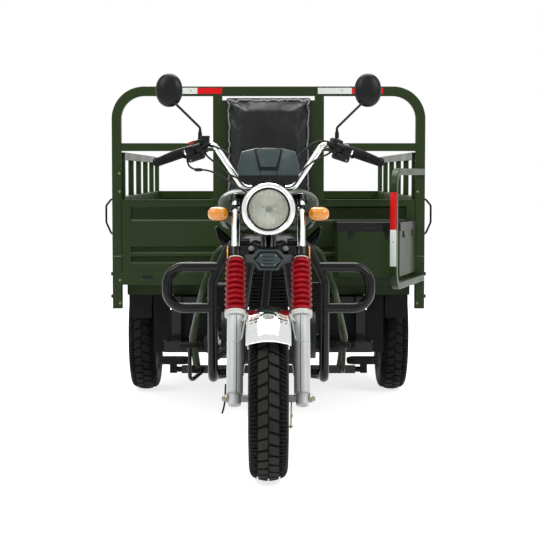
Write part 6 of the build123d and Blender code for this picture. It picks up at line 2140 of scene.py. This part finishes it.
class TRICYCLE_OT_handlebar(bpy.types.Operator):
    """Grips, housings, levers, mirrors and cables"""

    bl_idname = "tricycle.handlebar"
    bl_label = "Handlebar fittings"

    def execute(self, context):
        build_grips()
        build_controls()
        build_mirrors()
        build_cables()
        return {"FINISHED"}


class TRICYCLE_OT_fork_fittings(bpy.types.Operator):
    """Bolts, reflectors, axle nuts and brake rod of the fork"""

    bl_idname = "tricycle.fork_fittings"
    bl_label = "Fork fittings"

    def execute(self, context):
        build_fork_fittings()
        return {"FINISHED"}


class TRICYCLE_OT_tank(bpy.types.Operator):
    """Fuel tank with its cap and shrouds, and the panels below the seat"""

    bl_idname = "tricycle.tank"
    bl_label = "Tank and panels"

    def execute(self, context):
        build_tank()
        build_panels()
        return {"FINISHED"}


class TRICYCLE_OT_cushions(bpy.types.Operator):
    """Seat and backrest, swollen as stuffed vinyl, with their welts"""

    bl_idname = "tricycle.cushions"
    bl_label = "Cushions"

    def execute(self, context):
        build_seat()
        build_backrest()
        return {"FINISHED"}


class TRICYCLE_OT_body_trim(bpy.types.Operator):
    """Tape, channels, welds, bolts and catches on the body"""

    bl_idname = "tricycle.body_trim"
    bl_label = "Body trim"

    def execute(self, context):
        build_tape(context.scene.tricycle_sizes.tape_width)
        build_headboard_trim()
        build_box_trim()
        build_bed_trim()
        return {"FINISHED"}


class TRICYCLE_OT_engine_trim(bpy.types.Operator):
    """Fins, covers, kick lever, silencer cap, battery strap and filter cover"""

    bl_idname = "tricycle.engine_trim"
    bl_label = "Engine and boxes"

    def execute(self, context):
        build_engine_trim()
        build_exhaust_trim()
        build_box_labels()
        return {"FINISHED"}


class TRICYCLE_OT_rests(bpy.types.Operator):
    """Ribbed rubbers on the footrests and pedals"""

    bl_idname = "tricycle.rests"
    bl_label = "Footrests and pedals"

    def execute(self, context):
        build_rests()
        return {"FINISHED"}


class TRICYCLE_OT_running_gear(bpy.types.Operator):
    """Hub nuts, valves and spring bolts"""

    bl_idname = "tricycle.running_gear"
    bl_label = "Wheels and springs"

    def execute(self, context):
        build_wheel_trim()
        build_running_gear()
        return {"FINISHED"}


class TRICYCLE_OT_tail(bpy.types.Operator):
    """Tail lamps and the frame of the plate"""

    bl_idname = "tricycle.tail"
    bl_label = "Tail"

    def execute(self, context):
        build_tail()
        return {"FINISHED"}


class TRICYCLE_OT_stage(bpy.types.Operator):
    """Floor, lamps, surround and camera"""

    bl_idname = "tricycle.stage"
    bl_label = "Stage"

    def execute(self, context):
        sizes = context.scene.tricycle_sizes
        build_stage(sizes.lens, sizes.fill_light)
        return {"FINISHED"}


OPERATORS = (
    TRICYCLE_OT_paintwork, TRICYCLE_OT_tyres, TRICYCLE_OT_fork, TRICYCLE_OT_lamps, TRICYCLE_OT_cowl,
    TRICYCLE_OT_handlebar, TRICYCLE_OT_fork_fittings, TRICYCLE_OT_tank, TRICYCLE_OT_cushions,
    TRICYCLE_OT_body_trim, TRICYCLE_OT_engine_trim, TRICYCLE_OT_rests, TRICYCLE_OT_running_gear,
    TRICYCLE_OT_tail, TRICYCLE_OT_stage,
)


class TRICYCLE_PT_sidebar(bpy.types.Panel):
    """Colours, sizes and pieces of the tricycle"""

    bl_idname = "TRICYCLE_PT_sidebar"
    bl_label = "Cargo motor tricycle"
    bl_space_type = "VIEW_3D"
    bl_region_type = "UI"
    bl_category = "Tricycle"

    def draw(self, context):
        layout = self.layout
        for heading, group in (("Colours", context.scene.tricycle_paint),
                               ("Sizes", context.scene.tricycle_sizes)):
            box = layout.box()
            box.label(text=heading)
            for choice in group.bl_rna.properties:
                if choice.identifier not in ("rna_type", "name"):
                    box.prop(group, choice.identifier)
        box = layout.box()
        box.label(text="Pieces")
        for step in OPERATORS:
            box.operator(step.bl_idname)


CLASSES = (TricyclePaint, TricycleSizes, *OPERATORS, TRICYCLE_PT_sidebar)


def register():
    for kind in CLASSES:
        bpy.utils.register_class(kind)
    bpy.types.Scene.tricycle_paint = bpy.props.PointerProperty(type=TricyclePaint)
    bpy.types.Scene.tricycle_sizes = bpy.props.PointerProperty(type=TricycleSizes)


def unregister():
    del bpy.types.Scene.tricycle_sizes
    del bpy.types.Scene.tricycle_paint
    for kind in reversed(CLASSES):
        bpy.utils.unregister_class(kind)


def main():
    """Registers the add-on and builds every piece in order."""
    register()
    for step in OPERATORS:
        group, action = step.bl_idname.split(".")
        getattr(getattr(bpy.ops, group), action)()


if __name__ == "__main__":
    main()
